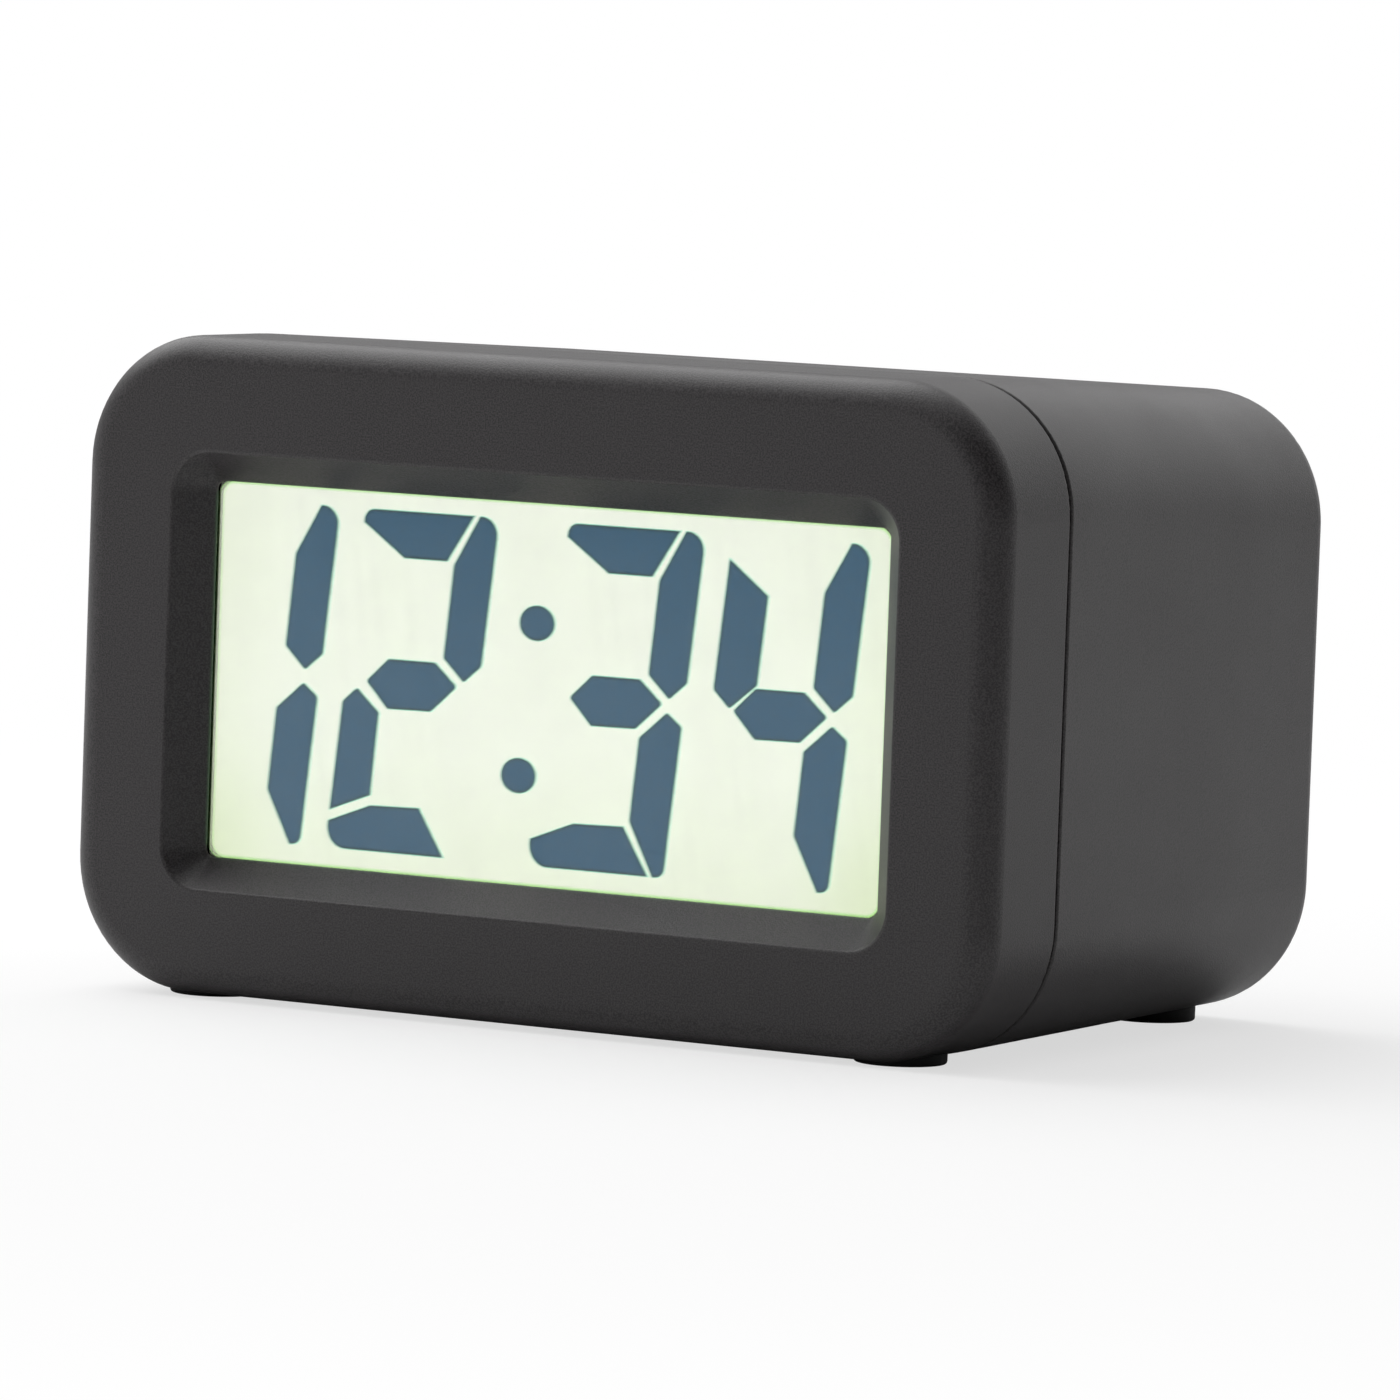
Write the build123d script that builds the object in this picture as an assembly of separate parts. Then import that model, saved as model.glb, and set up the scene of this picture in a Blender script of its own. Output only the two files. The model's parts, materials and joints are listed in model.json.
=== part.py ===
from build123d import *
import math
import os

# Desk clock with a lit liquid-crystal display.
# Millimetres. +X right as seen from the front, +Y towards the back, +Z up.
# The origin is on the table, under the middle of the case.

# Case
body_width = 128.0
body_height = 79.1
body_depth = 84.0
corner_radius = 15.95
wall = 2.4
front_rounding = 3.6
rear_rounding = 3.0
bezel_depth = 16.25
rear_side_inset = 2.4
rear_top_drop = 3.0
rear_bottom_rise = 1.0
joint_gap = 0.5
joint_edge = 0.3
tongue_length = 3.0
tongue_thickness = 0.95
overrun = 1.0
touch = 0.1
slip = 0.2

# Feet
foot_height = 0.5
foot_radius = 5.5
foot_recess = 0.9
foot_edge = 0.4
front_foot_inset = 16.0
rear_foot_inset = 19.5
foot_from_end = 9.0

# Display opening and the stack of layers behind it
window_side = 17.13
window_end = 16.9
window_corner = 1.0
window_drop = 0.5
recess_depth = 4.5
recess_slope = 3.7
recess_corner = 5.2
recess_lip = 0.5
funnel_wall = 1.8
tape_thickness = 0.2
tape_margin = 0.9
pane_thickness = 1.5
pane_margin_x = 3.5
pane_margin_z = 4.9
pane_corner = 2.0
polariser_thickness = 0.2
glass_thickness = 0.8
cell_gap = 0.2
diffuser_thickness = 0.3
guide_thickness = 3.0
reflector_thickness = 0.2
frame_floor = 1.5
board_thickness = 1.6

# Glass and its frame
glass_margin_x = 2.15
ledge_width = 3.0
rear_glass_margin = 0.95
seal_width = 1.2
frame_wall = 1.5
frame_rib = 0.8
strip_thickness = 1.8
strip_trim = 4.0
guide_end_gap = 1.7
ear_width = 8.0
ear_from_screw = 8.4
ear_reach = 8.65
board_screw_inset = 3.5

# Digits
shown_time = "1234"
digit_end_margin = 2.35
digit_left_margin = 6.5
digit_right_margin = 8.1
digit_gap = 3.9
colon_room = 10.0
colon_from_digit = 7.15
slant_angle = 6.0
dot_width = 4.6
dot_height = 3.9
first_digit_share = 0.29
flat_stroke_share = 0.131
upright_stroke_share = 0.281
upper_dot_share = 0.705
lower_dot_share = 0.257

# Backlight
led_count = 6
led_end_margin = 4.0
led_length = 2.0
led_width = 1.7
led_depth = 1.0
led_board_thickness = 0.6
led_board_trim = 3.5
led_board_width = 2.8
pin_radius = 0.4
pin_from_end = 2.0

# Main board and what stands on it
board_margin = 1.1
wing_from_screw = 4.4
chip_radius = 7.0
chip_height = 1.8
chip_x = -4.0
chip_rise = 2.0
crystal_radius = 1.0
crystal_length = 6.0
crystal_x = 16.0
crystal_rise = 10.0
capacitor_radius = 3.2
capacitor_length = 7.0
capacitor_x = -24.0
capacitor_rise = -10.0
capacitor_pitch = 9.0
resistor_length = 2.0
resistor_width = 1.25
resistor_height = 0.6
resistor_pitch = 4.0
resistor_rows = 2
resistor_columns = 6
resistor_x = 8.0
resistor_rise = -14.0

# Screws
case_screw_radius = 1.45
case_screw_length = 12.0
case_screw_head_radius = 2.8
case_screw_head_height = 2.0
case_screw_inset = 9.5
case_screw_rise = 18.5
case_boss_radius = 3.5
well_radius = 3.1
well_wall = 1.1
well_floor = 2.0
well_start = 18.0
small_screw_radius = 0.95
small_screw_length = 7.0
small_head_radius = 1.9
small_head_height = 1.3
small_boss_radius = 2.5
thread_clearance = 0.05
hole_clearance = 0.25
drive_width = 0.6
drive_length_share = 0.65
drive_depth = 0.7

# Battery bay and door
cell_radius = 7.1
cell_length = 50.5
cell_nub_radius = 2.7
cell_nub_height = 1.3
cell_rounding = 0.6
cell_gap_between = 0.7
bay_height = 30.0
bay_wall = 1.6
bay_rise = 8.8
cell_clearance = 0.3
door_thickness = 2.0
door_seat = 2.0
door_corner = 1.2
door_gap = 0.2
door_pin_radius = 0.7
door_pin_length = 1.5
door_pin_clearance = 0.05
door_catch_length = 10.0
door_catch_thickness = 1.2
door_catch_depth = 3.0
door_catch_drop = 0.5
door_grip_count = 5
door_grip_drop = 4.4
door_grip_pitch = 2.2
door_grip_width = 0.8
door_grip_length = 14.0
door_grip_depth = 0.4
finger_notch_radius = 7.0
finger_notch_depth = 1.2
contact_thickness = 0.4
contact_width = 9.0
tab_width = 3.0
tab_length = 4.2
tab_drop = 4.4
spring_wire_radius = 0.35
spring_radius = 3.1
spring_end_radius = 2.1
spring_length = 6.3
spring_turns = 4
spring_gap_points = 24

# Rear keys
panel_inset = 14.0
panel_height = 14.0
panel_depth = 1.0
panel_corner = 3.0
key_radius = 4.3
key_gap = 0.2
key_proud = 0.9
key_flange = 1.3
key_flange_thickness = 1.2
key_stem_radius = 2.0
key_travel = 0.5
key_edge = 0.4
key_mark_depth = 0.3
key_mark_size = 2.0
key_rest_gap = 0.1
switch_size = 6.0
switch_height = 3.5
plunger_radius = 1.75
plunger_bore = 1.82
plunger_reach = 1.5
plunger_depth = 1.8
key_board_thickness = 1.6
key_board_height = 16.0
key_board_gap = 0.5
key_board_screw_from_end = 2.8
key_shares = (-0.766, -0.447, -0.128, 0.191)
slide_share = 0.723
key_board_screw_shares = (-1.0, 0.425, 1.0)

# Alarm slide
slide_travel = 4.0
slide_knob_width = 5.0
slide_knob_height = 5.0
slide_slot_gap = 0.25
slide_skirt = 1.6
slide_skirt_thickness = 1.0
slide_stem_width = 2.0
slide_stem_height = 1.6
slide_switch_width = 12.0
slide_switch_height = 6.0
slide_switch_depth = 4.0
slide_switch_wall = 1.0
slide_ridge_count = 3
slide_ridge_pitch = 1.4
slide_ridge_width = 0.5
slide_ridge_depth = 0.4

# Snooze and light bar
bar_length = 56.0
bar_width = 18.0
bar_corner = 4.0
bar_gap = 0.25
bar_flange = 1.2
bar_flange_thickness = 1.2
bar_y = 3.0
bar_stem_radius = 2.5
bar_edge = 0.4
snooze_board_drop = 12.0
snooze_board_length = 72.0
snooze_board_width = 12.0
snooze_board_thickness = 1.6
snooze_screw_from_end = 3.5

# Sounder
sounder_rise = 31.0
sounder_radius = 7.5
sounder_height = 7.0
sounder_wall = 1.0
sounder_rib = 1.2
sounder_rib_height = 4.0
sounder_port_radius = 1.5
disc_radius = 6.2
disc_thickness = 0.3
disc_step = 0.8
sound_hole_radius = 0.75
sound_ring_pitch = 2.6
sound_ring_counts = (6, 12)

# Leads
lead_radius = 0.6
lead_pitch = 2.4
lead_bend_share = 0.45
ribbon_width = 8.0
ribbon_thickness = 0.7
ribbon_x = -15.0

# Places worked out from the sizes above
front_y = -body_depth / 2
rear_y = body_depth / 2
joint_y = front_y + bezel_depth
body_bottom = foot_height
body_top = foot_height + body_height
body_middle = foot_height + body_height / 2
window_z = body_middle - window_drop
pane_y = front_y + recess_depth + tape_thickness
polariser_y = pane_y + pane_thickness
glass_y = polariser_y + polariser_thickness
cell_y = glass_y + glass_thickness
rear_glass_y = cell_y + cell_gap
rear_polariser_y = rear_glass_y + glass_thickness
diffuser_y = rear_polariser_y + polariser_thickness
guide_y = diffuser_y + diffuser_thickness
reflector_y = guide_y + guide_thickness
floor_y = reflector_y + reflector_thickness
board_y = floor_y + frame_floor
board_back_y = board_y + board_thickness
window_width = body_width - 2 * window_side
window_height = body_height - 2 * window_end
recess_width = window_width + 2 * recess_slope
recess_height = window_height + 2 * recess_slope
digit_height = window_height - 2 * digit_end_margin
digit_room = window_width - digit_left_margin - digit_right_margin - 2 * digit_gap - colon_room
digit_width = digit_room / (len(shown_time) - 1 + first_digit_share)
glass_width = window_width + 2 * glass_margin_x
rear_glass_height = window_height + 2 * rear_glass_margin
glass_height = rear_glass_height + 2 * ledge_width
led_board_height = rear_glass_height - 2 * led_board_trim
led_pitch = (led_board_height - 2 * led_end_margin) / (led_count - 1)
pocket_width = glass_width + slip
pocket_height = glass_height + slip
frame_width = pocket_width + 2 * frame_wall
frame_height = pocket_height + 2 * frame_wall
inner_pocket_height = rear_glass_height + slip
ear_x = frame_width / 2 + ear_reach - board_screw_inset
case_screw_x = body_width / 2 - case_screw_inset
case_screw_spread = body_height - 2 * case_screw_rise
ear_spread = case_screw_spread - 2 * ear_from_screw
wing_height = case_screw_spread - 2 * wing_from_screw
boss_meet_y = front_y + well_start
panel_y = rear_y - panel_depth
inner_rear_y = rear_y - wall
key_face_y = panel_y + key_proud
key_flange_y = inner_rear_y - key_rest_gap - key_flange_thickness
key_stem_y = key_flange_y - 2 * key_flange_thickness
switch_top_y = key_stem_y - plunger_reach
switch_base_y = switch_top_y - switch_height
key_board_y = switch_base_y - key_board_thickness
plunger_pocket = plunger_depth + key_travel + slip
key_names = ("time", "alarm", "hour", "minute")
bay_length = cell_length + spring_length + 2 * contact_thickness
bay_bottom = body_bottom + bay_rise
bay_top = bay_bottom + bay_height
bay_middle = bay_bottom + bay_height / 2
key_z = (bay_top + bay_wall + body_top - rear_top_drop - wall) / 2
panel_width = body_width - 2 * panel_inset
key_board_half = case_screw_x - well_radius - well_wall - key_board_gap
key_reach = key_board_half - key_board_screw_from_end
key_places = [share * key_reach for share in key_shares]
key_board_screw_places = [share * key_reach for share in key_board_screw_shares]
slide_x = slide_share * key_reach
door_inner_y = rear_y - door_thickness
cell_centre_y = door_inner_y - cell_clearance - cell_radius
bay_floor_y = cell_centre_y - cell_radius - cell_clearance
lower_cell_z = bay_bottom + cell_clearance / 2 + cell_radius
upper_cell_z = lower_cell_z + 2 * cell_radius + cell_gap_between
plate_x = bay_length / 2 - contact_thickness
door_bottom = bay_bottom - door_seat / 2
door_top = bay_top + door_seat
door_width = bay_length + 2 * door_seat
door_edge_radius = door_thickness / 2
hinge_y = rear_y - door_edge_radius
hinge_z = door_bottom + door_edge_radius
inner_side_x = body_width / 2 - rear_side_inset - wall
sounder_x = -(bay_length / 2 + bay_wall + inner_side_x) / 2
sounder_z = body_bottom + sounder_rise
sounder_front_y = inner_rear_y - sounder_height


def front_plane(y):
    """A sketch plane at depth y, whose sketch axes are X and Z."""
    return Plane(origin=(0, y, 0), x_dir=(1, 0, 0), z_dir=(0, -1, 0))


def slab(outline, y_front, y_back):
    """An outline drawn in X and Z, as thick as from y_front to y_back."""
    return extrude(front_plane(y_back) * outline, y_back - y_front)


def block(x0, x1, y0, y1, z0, z1):
    """A box between its two corners."""
    middle = Pos((x0 + x1) / 2, (y0 + y1) / 2, (z0 + z1) / 2)
    return middle * Box(x1 - x0, y1 - y0, z1 - z0)


def rod_y(radius, x, z, y_front, y_back):
    """A round bar along Y."""
    return slab(Pos(x, z) * Circle(radius), y_front, y_back)


def rod_z(radius, x, y, z_low, z_high):
    """A round bar along Z."""
    return extrude(Plane.XY.offset(z_low) * Pos(x, y) * Circle(radius), z_high - z_low)


def rod_x(radius, y, z, x_low, x_high):
    """A round bar along X."""
    return extrude(Plane.YZ.offset(x_low) * Pos(y, z) * Circle(radius), x_high - x_low)


def centred(width, height, radius, z):
    """A rounded rectangle centred on X at height z."""
    return Pos(0, z) * RectangleRounded(width, height, radius)


def rear_share(y):
    """How far y lies from the joint to the back: 0 at the joint, 1 at the back."""
    return (y - joint_y) / (rear_y - joint_y)


def underside(y):
    """The height of the case's underside at depth y."""
    return body_bottom + rear_bottom_rise * max(rear_share(y), 0)


def shell_outline(y, inset):
    """The drafted section of the rear shell at depth y, drawn in by inset."""
    share = rear_share(y)
    width = body_width - 2 * rear_side_inset * share - 2 * inset
    top = body_top - rear_top_drop * share - inset
    bottom = underside(y) + inset
    return centred(width, top - bottom, corner_radius - inset, (top + bottom) / 2)


def shell_body(y_front, y_back, inset):
    """The solid inside the drafted outline between two depths."""
    front = front_plane(y_front) * shell_outline(y_front, inset)
    back = front_plane(y_back) * shell_outline(y_back, inset)
    return loft([front, back], ruled=True)


def bezel_outline(inset):
    """The front case outline, drawn in by inset."""
    width = body_width - 2 * inset
    height = body_height - 2 * inset
    return centred(width, height, corner_radius - inset, body_middle)


def case_screw_places():
    """X and Z of the four case screws."""
    low = body_bottom + case_screw_rise
    high = body_top - case_screw_rise
    return [(side * case_screw_x, z) for side in (-1, 1) for z in (low, high)]


def ear_places():
    """X and Z of the four screws that hold the display frame and main board."""
    return [(side * ear_x, window_z + end * ear_spread / 2) for side in (-1, 1) for end in (-1, 1)]


def foot_places():
    """X and Y of the four feet."""
    front_x = body_width / 2 - front_foot_inset
    rear_x = body_width / 2 - rear_foot_inset
    front = [(side * front_x, front_y + foot_from_end) for side in (-1, 1)]
    rear = [(side * rear_x, rear_y - foot_from_end) for side in (-1, 1)]
    return front + rear


def foot_recesses():
    """The round seats in the underside of the case."""
    return [rod_z(foot_radius + touch, x, y, body_bottom - overrun, underside(y) + foot_recess)
            for x, y in foot_places()]


def screw(x, z, seat_y, length, radius, head_radius, head_height, forward=True):
    """A pan-head screw along Y whose head rests on seat_y, with a cross drive in the head."""
    tip_y = seat_y - length if forward else seat_y + length
    top_y = seat_y + head_height if forward else seat_y - head_height
    shank = rod_y(radius, x, z, min(seat_y, tip_y), max(seat_y, tip_y))
    head = rod_y(head_radius, x, z, min(seat_y, top_y), max(seat_y, top_y))
    rim = head.edges().filter_by(GeomType.CIRCLE).sort_by(Axis.Y)
    head = fillet(rim[-1] if forward else rim[0], head_height / 2)
    slot = drive_length_share * head_radius
    low = top_y - drive_depth if forward else top_y - overrun
    high = top_y + overrun if forward else top_y + drive_depth
    cross = block(x - slot, x + slot, low, high, z - drive_width / 2, z + drive_width / 2)
    cross += block(x - drive_width / 2, x + drive_width / 2, low, high, z - slot, z + slot)
    return shank + head - cross


def sound_hole_places():
    """X and Z of the sound holes: one in the middle and rings round it."""
    places = [(sounder_x, sounder_z)]
    for ring, count in enumerate(sound_ring_counts, start=1):
        for step in range(count):
            turn = 2 * math.pi * step / count
            reach = ring * sound_ring_pitch
            places.append((sounder_x + reach * math.cos(turn), sounder_z + reach * math.sin(turn)))
    return places


def make_front_bezel():
    """The front case half: rounded face, sloping recess, bosses and joint tongue."""
    back_y = joint_y - joint_gap / 2
    shell = slab(bezel_outline(0), front_y, back_y)
    shell = fillet(shell.faces().sort_by(Axis.Y)[0].edges(), front_rounding)
    shell = fillet(shell.faces().sort_by(Axis.Y)[-1].edges(), joint_edge)
    shell -= slab(bezel_outline(wall), front_y + wall, back_y + overrun)
    ring_width = recess_width + 2 * funnel_wall
    ring_height = recess_height + 2 * funnel_wall
    ring = centred(ring_width, ring_height, recess_corner + funnel_wall, window_z)
    shell += slab(ring, front_y + wall / 2, front_y + recess_depth)
    mouth = front_plane(front_y) * centred(recess_width, recess_height, recess_corner, window_z)
    throat_y = front_y + recess_depth - touch
    throat_outline = centred(window_width, window_height, window_corner, window_z)
    shell -= loft([mouth, front_plane(throat_y) * throat_outline], ruled=True)
    shell -= slab(throat_outline, throat_y - touch, front_y + recess_depth + overrun)
    for x, z in ear_places():
        shell += rod_y(small_boss_radius, x, z, front_y + wall / 2, floor_y)
    for x, z in case_screw_places():
        shell += rod_y(case_boss_radius, x, z, front_y + wall / 2, boss_meet_y)
    tongue = bezel_outline(wall - tongue_thickness) - bezel_outline(wall)
    shell += slab(tongue, back_y - overrun, joint_y + tongue_length)
    for x, z in ear_places():
        depth = small_screw_length + overrun
        hole = small_screw_radius + thread_clearance
        shell -= rod_y(hole, x, z, board_back_y - depth, board_back_y)
    for x, z in case_screw_places():
        depth = case_screw_length + overrun
        hole = case_screw_radius + thread_clearance
        shell -= rod_y(hole, x, z, boss_meet_y + well_floor - depth, boss_meet_y + overrun)
    for seat in foot_recesses()[:2]:
        shell -= seat
    lip = shell.faces().sort_by(Axis.Y)[0].inner_wires()[0].edges()
    return fillet(lip, recess_lip)


def battery_bay():
    """The outside block and the inside space of the battery bay."""
    half = bay_length / 2
    outer = block(-half - bay_wall, half + bay_wall, bay_floor_y - bay_wall, inner_rear_y + touch,
                  bay_bottom - bay_wall, bay_top + bay_wall)
    inner = block(-half, half, bay_floor_y, rear_y + overrun, bay_bottom, bay_top)
    return outer, inner


def door_opening():
    """The stepped pocket for the battery door, with its round lower edge and pin holes."""
    half = door_width / 2 + door_gap
    upper = block(-half, half, door_inner_y, rear_y + overrun, hinge_z, door_top + door_gap)
    reach = door_edge_radius + door_gap
    barrel = rod_x(reach, hinge_y, hinge_z, -half, half)
    mouth = block(-half, half, hinge_y, rear_y + overrun, hinge_z - reach, hinge_z)
    barrel = barrel & block(-half, half, door_inner_y, rear_y + overrun, hinge_z - reach, hinge_z + reach)
    pin = half + door_pin_length
    pins = rod_x(door_pin_radius + door_pin_clearance, hinge_y, hinge_z, -pin, pin)
    notch = Pos(0, rear_y, door_top) * Sphere(finger_notch_radius)
    notch &= block(-half, half, rear_y - finger_notch_depth, rear_y + overrun,
                   door_top - overrun, door_top + finger_notch_radius)
    return upper + barrel + mouth + pins + notch


def slide_slot():
    """The slot that the alarm knob runs in."""
    width = slide_knob_width + slide_travel + 2 * slide_slot_gap
    height = slide_knob_height + 2 * slide_slot_gap
    slot = Pos(slide_x, key_z) * RectangleRounded(width, height, slide_slot_gap)
    return slab(slot, inner_rear_y - overrun, rear_y + overrun)


def bar_opening():
    """The opening for the bar in the top of the shell."""
    outline = RectangleRounded(bar_length + 2 * bar_gap, bar_width + 2 * bar_gap, bar_corner + bar_gap)
    low = body_top - rear_top_drop - 2 * wall
    return extrude(Plane.XY.offset(low) * Pos(0, bar_y) * outline, body_top + overrun - low)


def snooze_screw_places():
    """X of the two screws of the small board under the bar."""
    reach = snooze_board_length / 2 - snooze_screw_from_end
    return (-reach, reach)


def make_rear_shell():
    """The deep rear case half, drafted towards the back."""
    start_y = joint_y + joint_gap / 2
    shell = shell_body(start_y, rear_y, 0)
    shell = fillet(shell.faces().sort_by(Axis.Y)[-1].edges(), rear_rounding)
    shell = fillet(shell.faces().sort_by(Axis.Y)[0].edges(), joint_edge)
    cavity = shell_body(start_y, inner_rear_y, wall)
    panel = Pos(0, key_z) * RectangleRounded(panel_width, panel_height, panel_corner)
    bay_outer, bay_inner = battery_bay()
    shell -= cavity
    lap = slab(bezel_outline(wall - tongue_thickness - touch) - bezel_outline(wall + overrun),
               start_y - overrun, joint_y + tongue_length)
    shell -= lap
    shell += bay_outer
    shell -= bay_inner
    shell -= door_opening()
    shell -= slab(panel, panel_y, rear_y + overrun)
    tubes = [rod_y(well_radius + well_wall, x, z, boss_meet_y, inner_rear_y + touch)
             for x, z in case_screw_places()]
    for tube in tubes:
        shell += tube
    for x in key_board_screw_places:
        shell += rod_y(small_boss_radius, x, key_z, switch_base_y, inner_rear_y + touch)
    rib = Circle(sounder_radius + touch + sounder_rib) - Circle(sounder_radius + touch)
    shell += slab(Pos(sounder_x, sounder_z) * rib, inner_rear_y - sounder_rib_height, inner_rear_y + touch)
    board_top = body_top - snooze_board_drop
    roof = shell_body(start_y, inner_rear_y, wall - touch)
    for x in snooze_screw_places():
        shell += rod_z(small_boss_radius, x, bar_y, board_top, body_top) & roof
    for x, z in case_screw_places():
        shell -= rod_y(well_radius, x, z, boss_meet_y + well_floor, rear_y + overrun)
        shell -= rod_y(case_screw_radius + hole_clearance, x, z, boss_meet_y - overrun, rear_y)
    for x in key_board_screw_places:
        depth = small_screw_length - key_board_thickness + overrun
        hole = small_screw_radius + thread_clearance
        shell -= rod_y(hole, x, key_z, switch_base_y - overrun, switch_base_y + depth)
    for x in snooze_screw_places():
        depth = small_screw_length - snooze_board_thickness + overrun
        hole = small_screw_radius + thread_clearance
        shell -= rod_z(hole, x, bar_y, board_top - overrun, board_top + depth)
    for index in range(len(key_names)):
        shell -= rod_y(key_radius + key_gap, key_places[index], key_z, inner_rear_y - overrun, rear_y)
    for x, z in sound_hole_places():
        shell -= rod_y(sound_hole_radius, x, z, inner_rear_y - overrun, rear_y + overrun)
    shell -= slide_slot()
    shell -= bar_opening()
    for _, z, x in contact_slots():
        shell -= block(min(x), max(x), *slot_depth(), z - tab_width / 2 - touch, z + tab_width / 2 + touch)
    for seat in foot_recesses()[2:]:
        shell -= seat
    return shell


def contact_slots():
    """The slots in the bay's right wall for the two solder tabs: name, height and X range."""
    span = (bay_length / 2 - overrun, bay_length / 2 + bay_wall + overrun)
    return [("positive", upper_cell_z, span), ("negative", lower_cell_z, span)]


def slot_depth():
    """The Y range of a tab slot, near the bay's floor."""
    centre = cell_centre_y - tab_drop
    return centre - contact_thickness / 2 - touch, centre + contact_thickness / 2 + touch


def make_window_tape():
    """The adhesive frame that holds the pane to the back of the bezel."""
    outer = centred(window_width + 2 * pane_margin_x, window_height + 2 * pane_margin_z,
                    pane_corner, window_z)
    inner = centred(window_width + 2 * tape_margin, window_height + 2 * tape_margin,
                    pane_corner - tape_margin, window_z)
    return slab(outer - inner, pane_y - tape_thickness, pane_y)


def make_display_window():
    """The clear pane."""
    outline = centred(window_width + 2 * pane_margin_x, window_height + 2 * pane_margin_z,
                      pane_corner, window_z)
    return slab(outline, pane_y, polariser_y)


def plate(width, height, y_front, y_back):
    """A square-cornered sheet centred behind the window."""
    return slab(Pos(0, window_z) * Rectangle(width, height), y_front, y_back)


def make_glass_layers():
    """The liquid-crystal cell without its digits, and the sheets behind it."""
    seal_outer = (glass_width - slip, rear_glass_height - slip / 2)
    seal_inner = (seal_outer[0] - 2 * seal_width, seal_outer[1] - seal_width)
    seal = Rectangle(*seal_outer) - Rectangle(*seal_inner)
    film_width = glass_width - seal_width
    sheet_left = -glass_width / 2
    sheet_right = glass_width / 2 - guide_end_gap
    low = window_z - rear_glass_height / 2
    high = window_z + rear_glass_height / 2
    return {
        "front_polariser": plate(film_width, glass_height - seal_width, polariser_y, glass_y),
        "front_glass": plate(glass_width, glass_height, glass_y, cell_y),
        "lcd_edge_seal": slab(Pos(0, window_z) * seal, cell_y, rear_glass_y),
        "rear_glass": plate(glass_width, rear_glass_height, rear_glass_y, rear_polariser_y),
        "rear_polariser": plate(film_width, rear_glass_height - slip, rear_polariser_y, diffuser_y),
        "diffuser_sheet": block(sheet_left, sheet_right, diffuser_y, guide_y, low, high),
        "light_guide": block(sheet_left, sheet_right, guide_y, reflector_y, low, high),
        "reflector_sheet": block(sheet_left, sheet_right, reflector_y, floor_y, low, high),
    }


# Outlines of the digit segments, as shares of the digit's width and height,
# with the rounding of each corner as a share of the stroke
segment_shares = {
    "a": ((0.0, 1.0, 0.24), (0.805, 1.0, 0.0), (0.65, 0.869, 0.0), (0.33, 0.869, 0.0), (0.0, 0.965, 0.0)),
    "b": ((0.866, 1.0, 0.0), (1.0, 1.0, 0.4), (1.0, 0.567, 0.1), (0.887, 0.519, 0.05),
          (0.722, 0.583, 0.05), (0.716, 0.855, 0.05)),
    "c": ((0.888, 0.472, 0.05), (1.0, 0.436, 0.1), (1.0, 0.0, 0.2), (0.93, 0.0, 0.0),
          (0.716, 0.153, 0.05), (0.71, 0.395, 0.05)),
    "d": ((0.0, 0.074, 0.0), (0.3, 0.128, 0.0), (0.665, 0.132, 0.0), (0.88, 0.0, 0.0), (0.0, 0.0, 0.46)),
    "e": ((0.09, 0.47, 0.05), (0.27, 0.405, 0.05), (0.28, 0.164, 0.0), (0.0, 0.114, 0.0),
          (0.0, 0.43, 0.1)),
    "f": ((0.0, 0.928, 0.0), (0.3, 0.833, 0.0), (0.3, 0.577, 0.05), (0.125, 0.507, 0.05),
          (0.0, 0.556, 0.1)),
    "g": ((0.165, 0.497, 0.05), (0.306, 0.563, 0.05), (0.655, 0.563, 0.05), (0.832, 0.5, 0.05),
          (0.665, 0.425, 0.05), (0.34, 0.423, 0.05)),
}
digit_segments = {"1": "bc", "2": "abged", "3": "abgcd", "4": "fgbc"}


def digit_lefts():
    """The left edge of each digit at its foot, from the last digit back to the first."""
    last = window_width / 2 - digit_right_margin - digit_width
    third = last - digit_gap - digit_width
    second = third - colon_room - digit_width
    return second - digit_gap - digit_width, second, third, last


def slanted(x, rise):
    """A point of the display: digits lean to the right with height."""
    return x + rise * math.tan(math.radians(slant_angle)), window_z - digit_height / 2 + rise


def segment_outline(left, name):
    """One segment of the digit that starts at left."""
    stroke = min(digit_height * flat_stroke_share, digit_width * upright_stroke_share)
    corners = [(slanted(left + x * digit_width, z * digit_height), r * stroke)
               for x, z, r in segment_shares[name]]
    outline = make_face(Polyline(*[place for place, _ in corners], close=True))
    for (x, z), rounding in corners:
        if rounding > 0:
            nearest = outline.vertices().sort_by_distance((x, z, 0))[0]
            outline = fillet(nearest, rounding)
    return outline


def make_lcd_digits():
    """The dark segments and the two colon dots, between the glasses."""
    solids = []
    for left, digit in zip(digit_lefts(), shown_time):
        for name in digit_segments[digit]:
            solids.append(slab(segment_outline(left, name), cell_y, rear_glass_y))
    colon_x = digit_lefts()[1] + digit_width + colon_from_digit
    for share in (upper_dot_share, lower_dot_share):
        dot = Pos(*slanted(colon_x, share * digit_height)) * Ellipse(dot_width / 2, dot_height / 2)
        solids.append(slab(dot, cell_y, rear_glass_y))
    return Compound(children=solids)


def strip_slots(gap):
    """The two long channels for the conductive strips, each wider by gap all round."""
    half = glass_width / 2 - strip_trim + gap
    near = inner_pocket_height / 2 + frame_rib
    middle = near + ledge_width / 2 - frame_rib / 2 + touch
    low, high = middle - strip_thickness / 2 - gap, middle + strip_thickness / 2 + gap
    return [(-half, half, window_z + low, window_z + high), (-half, half, window_z - high, window_z - low)]


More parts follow.
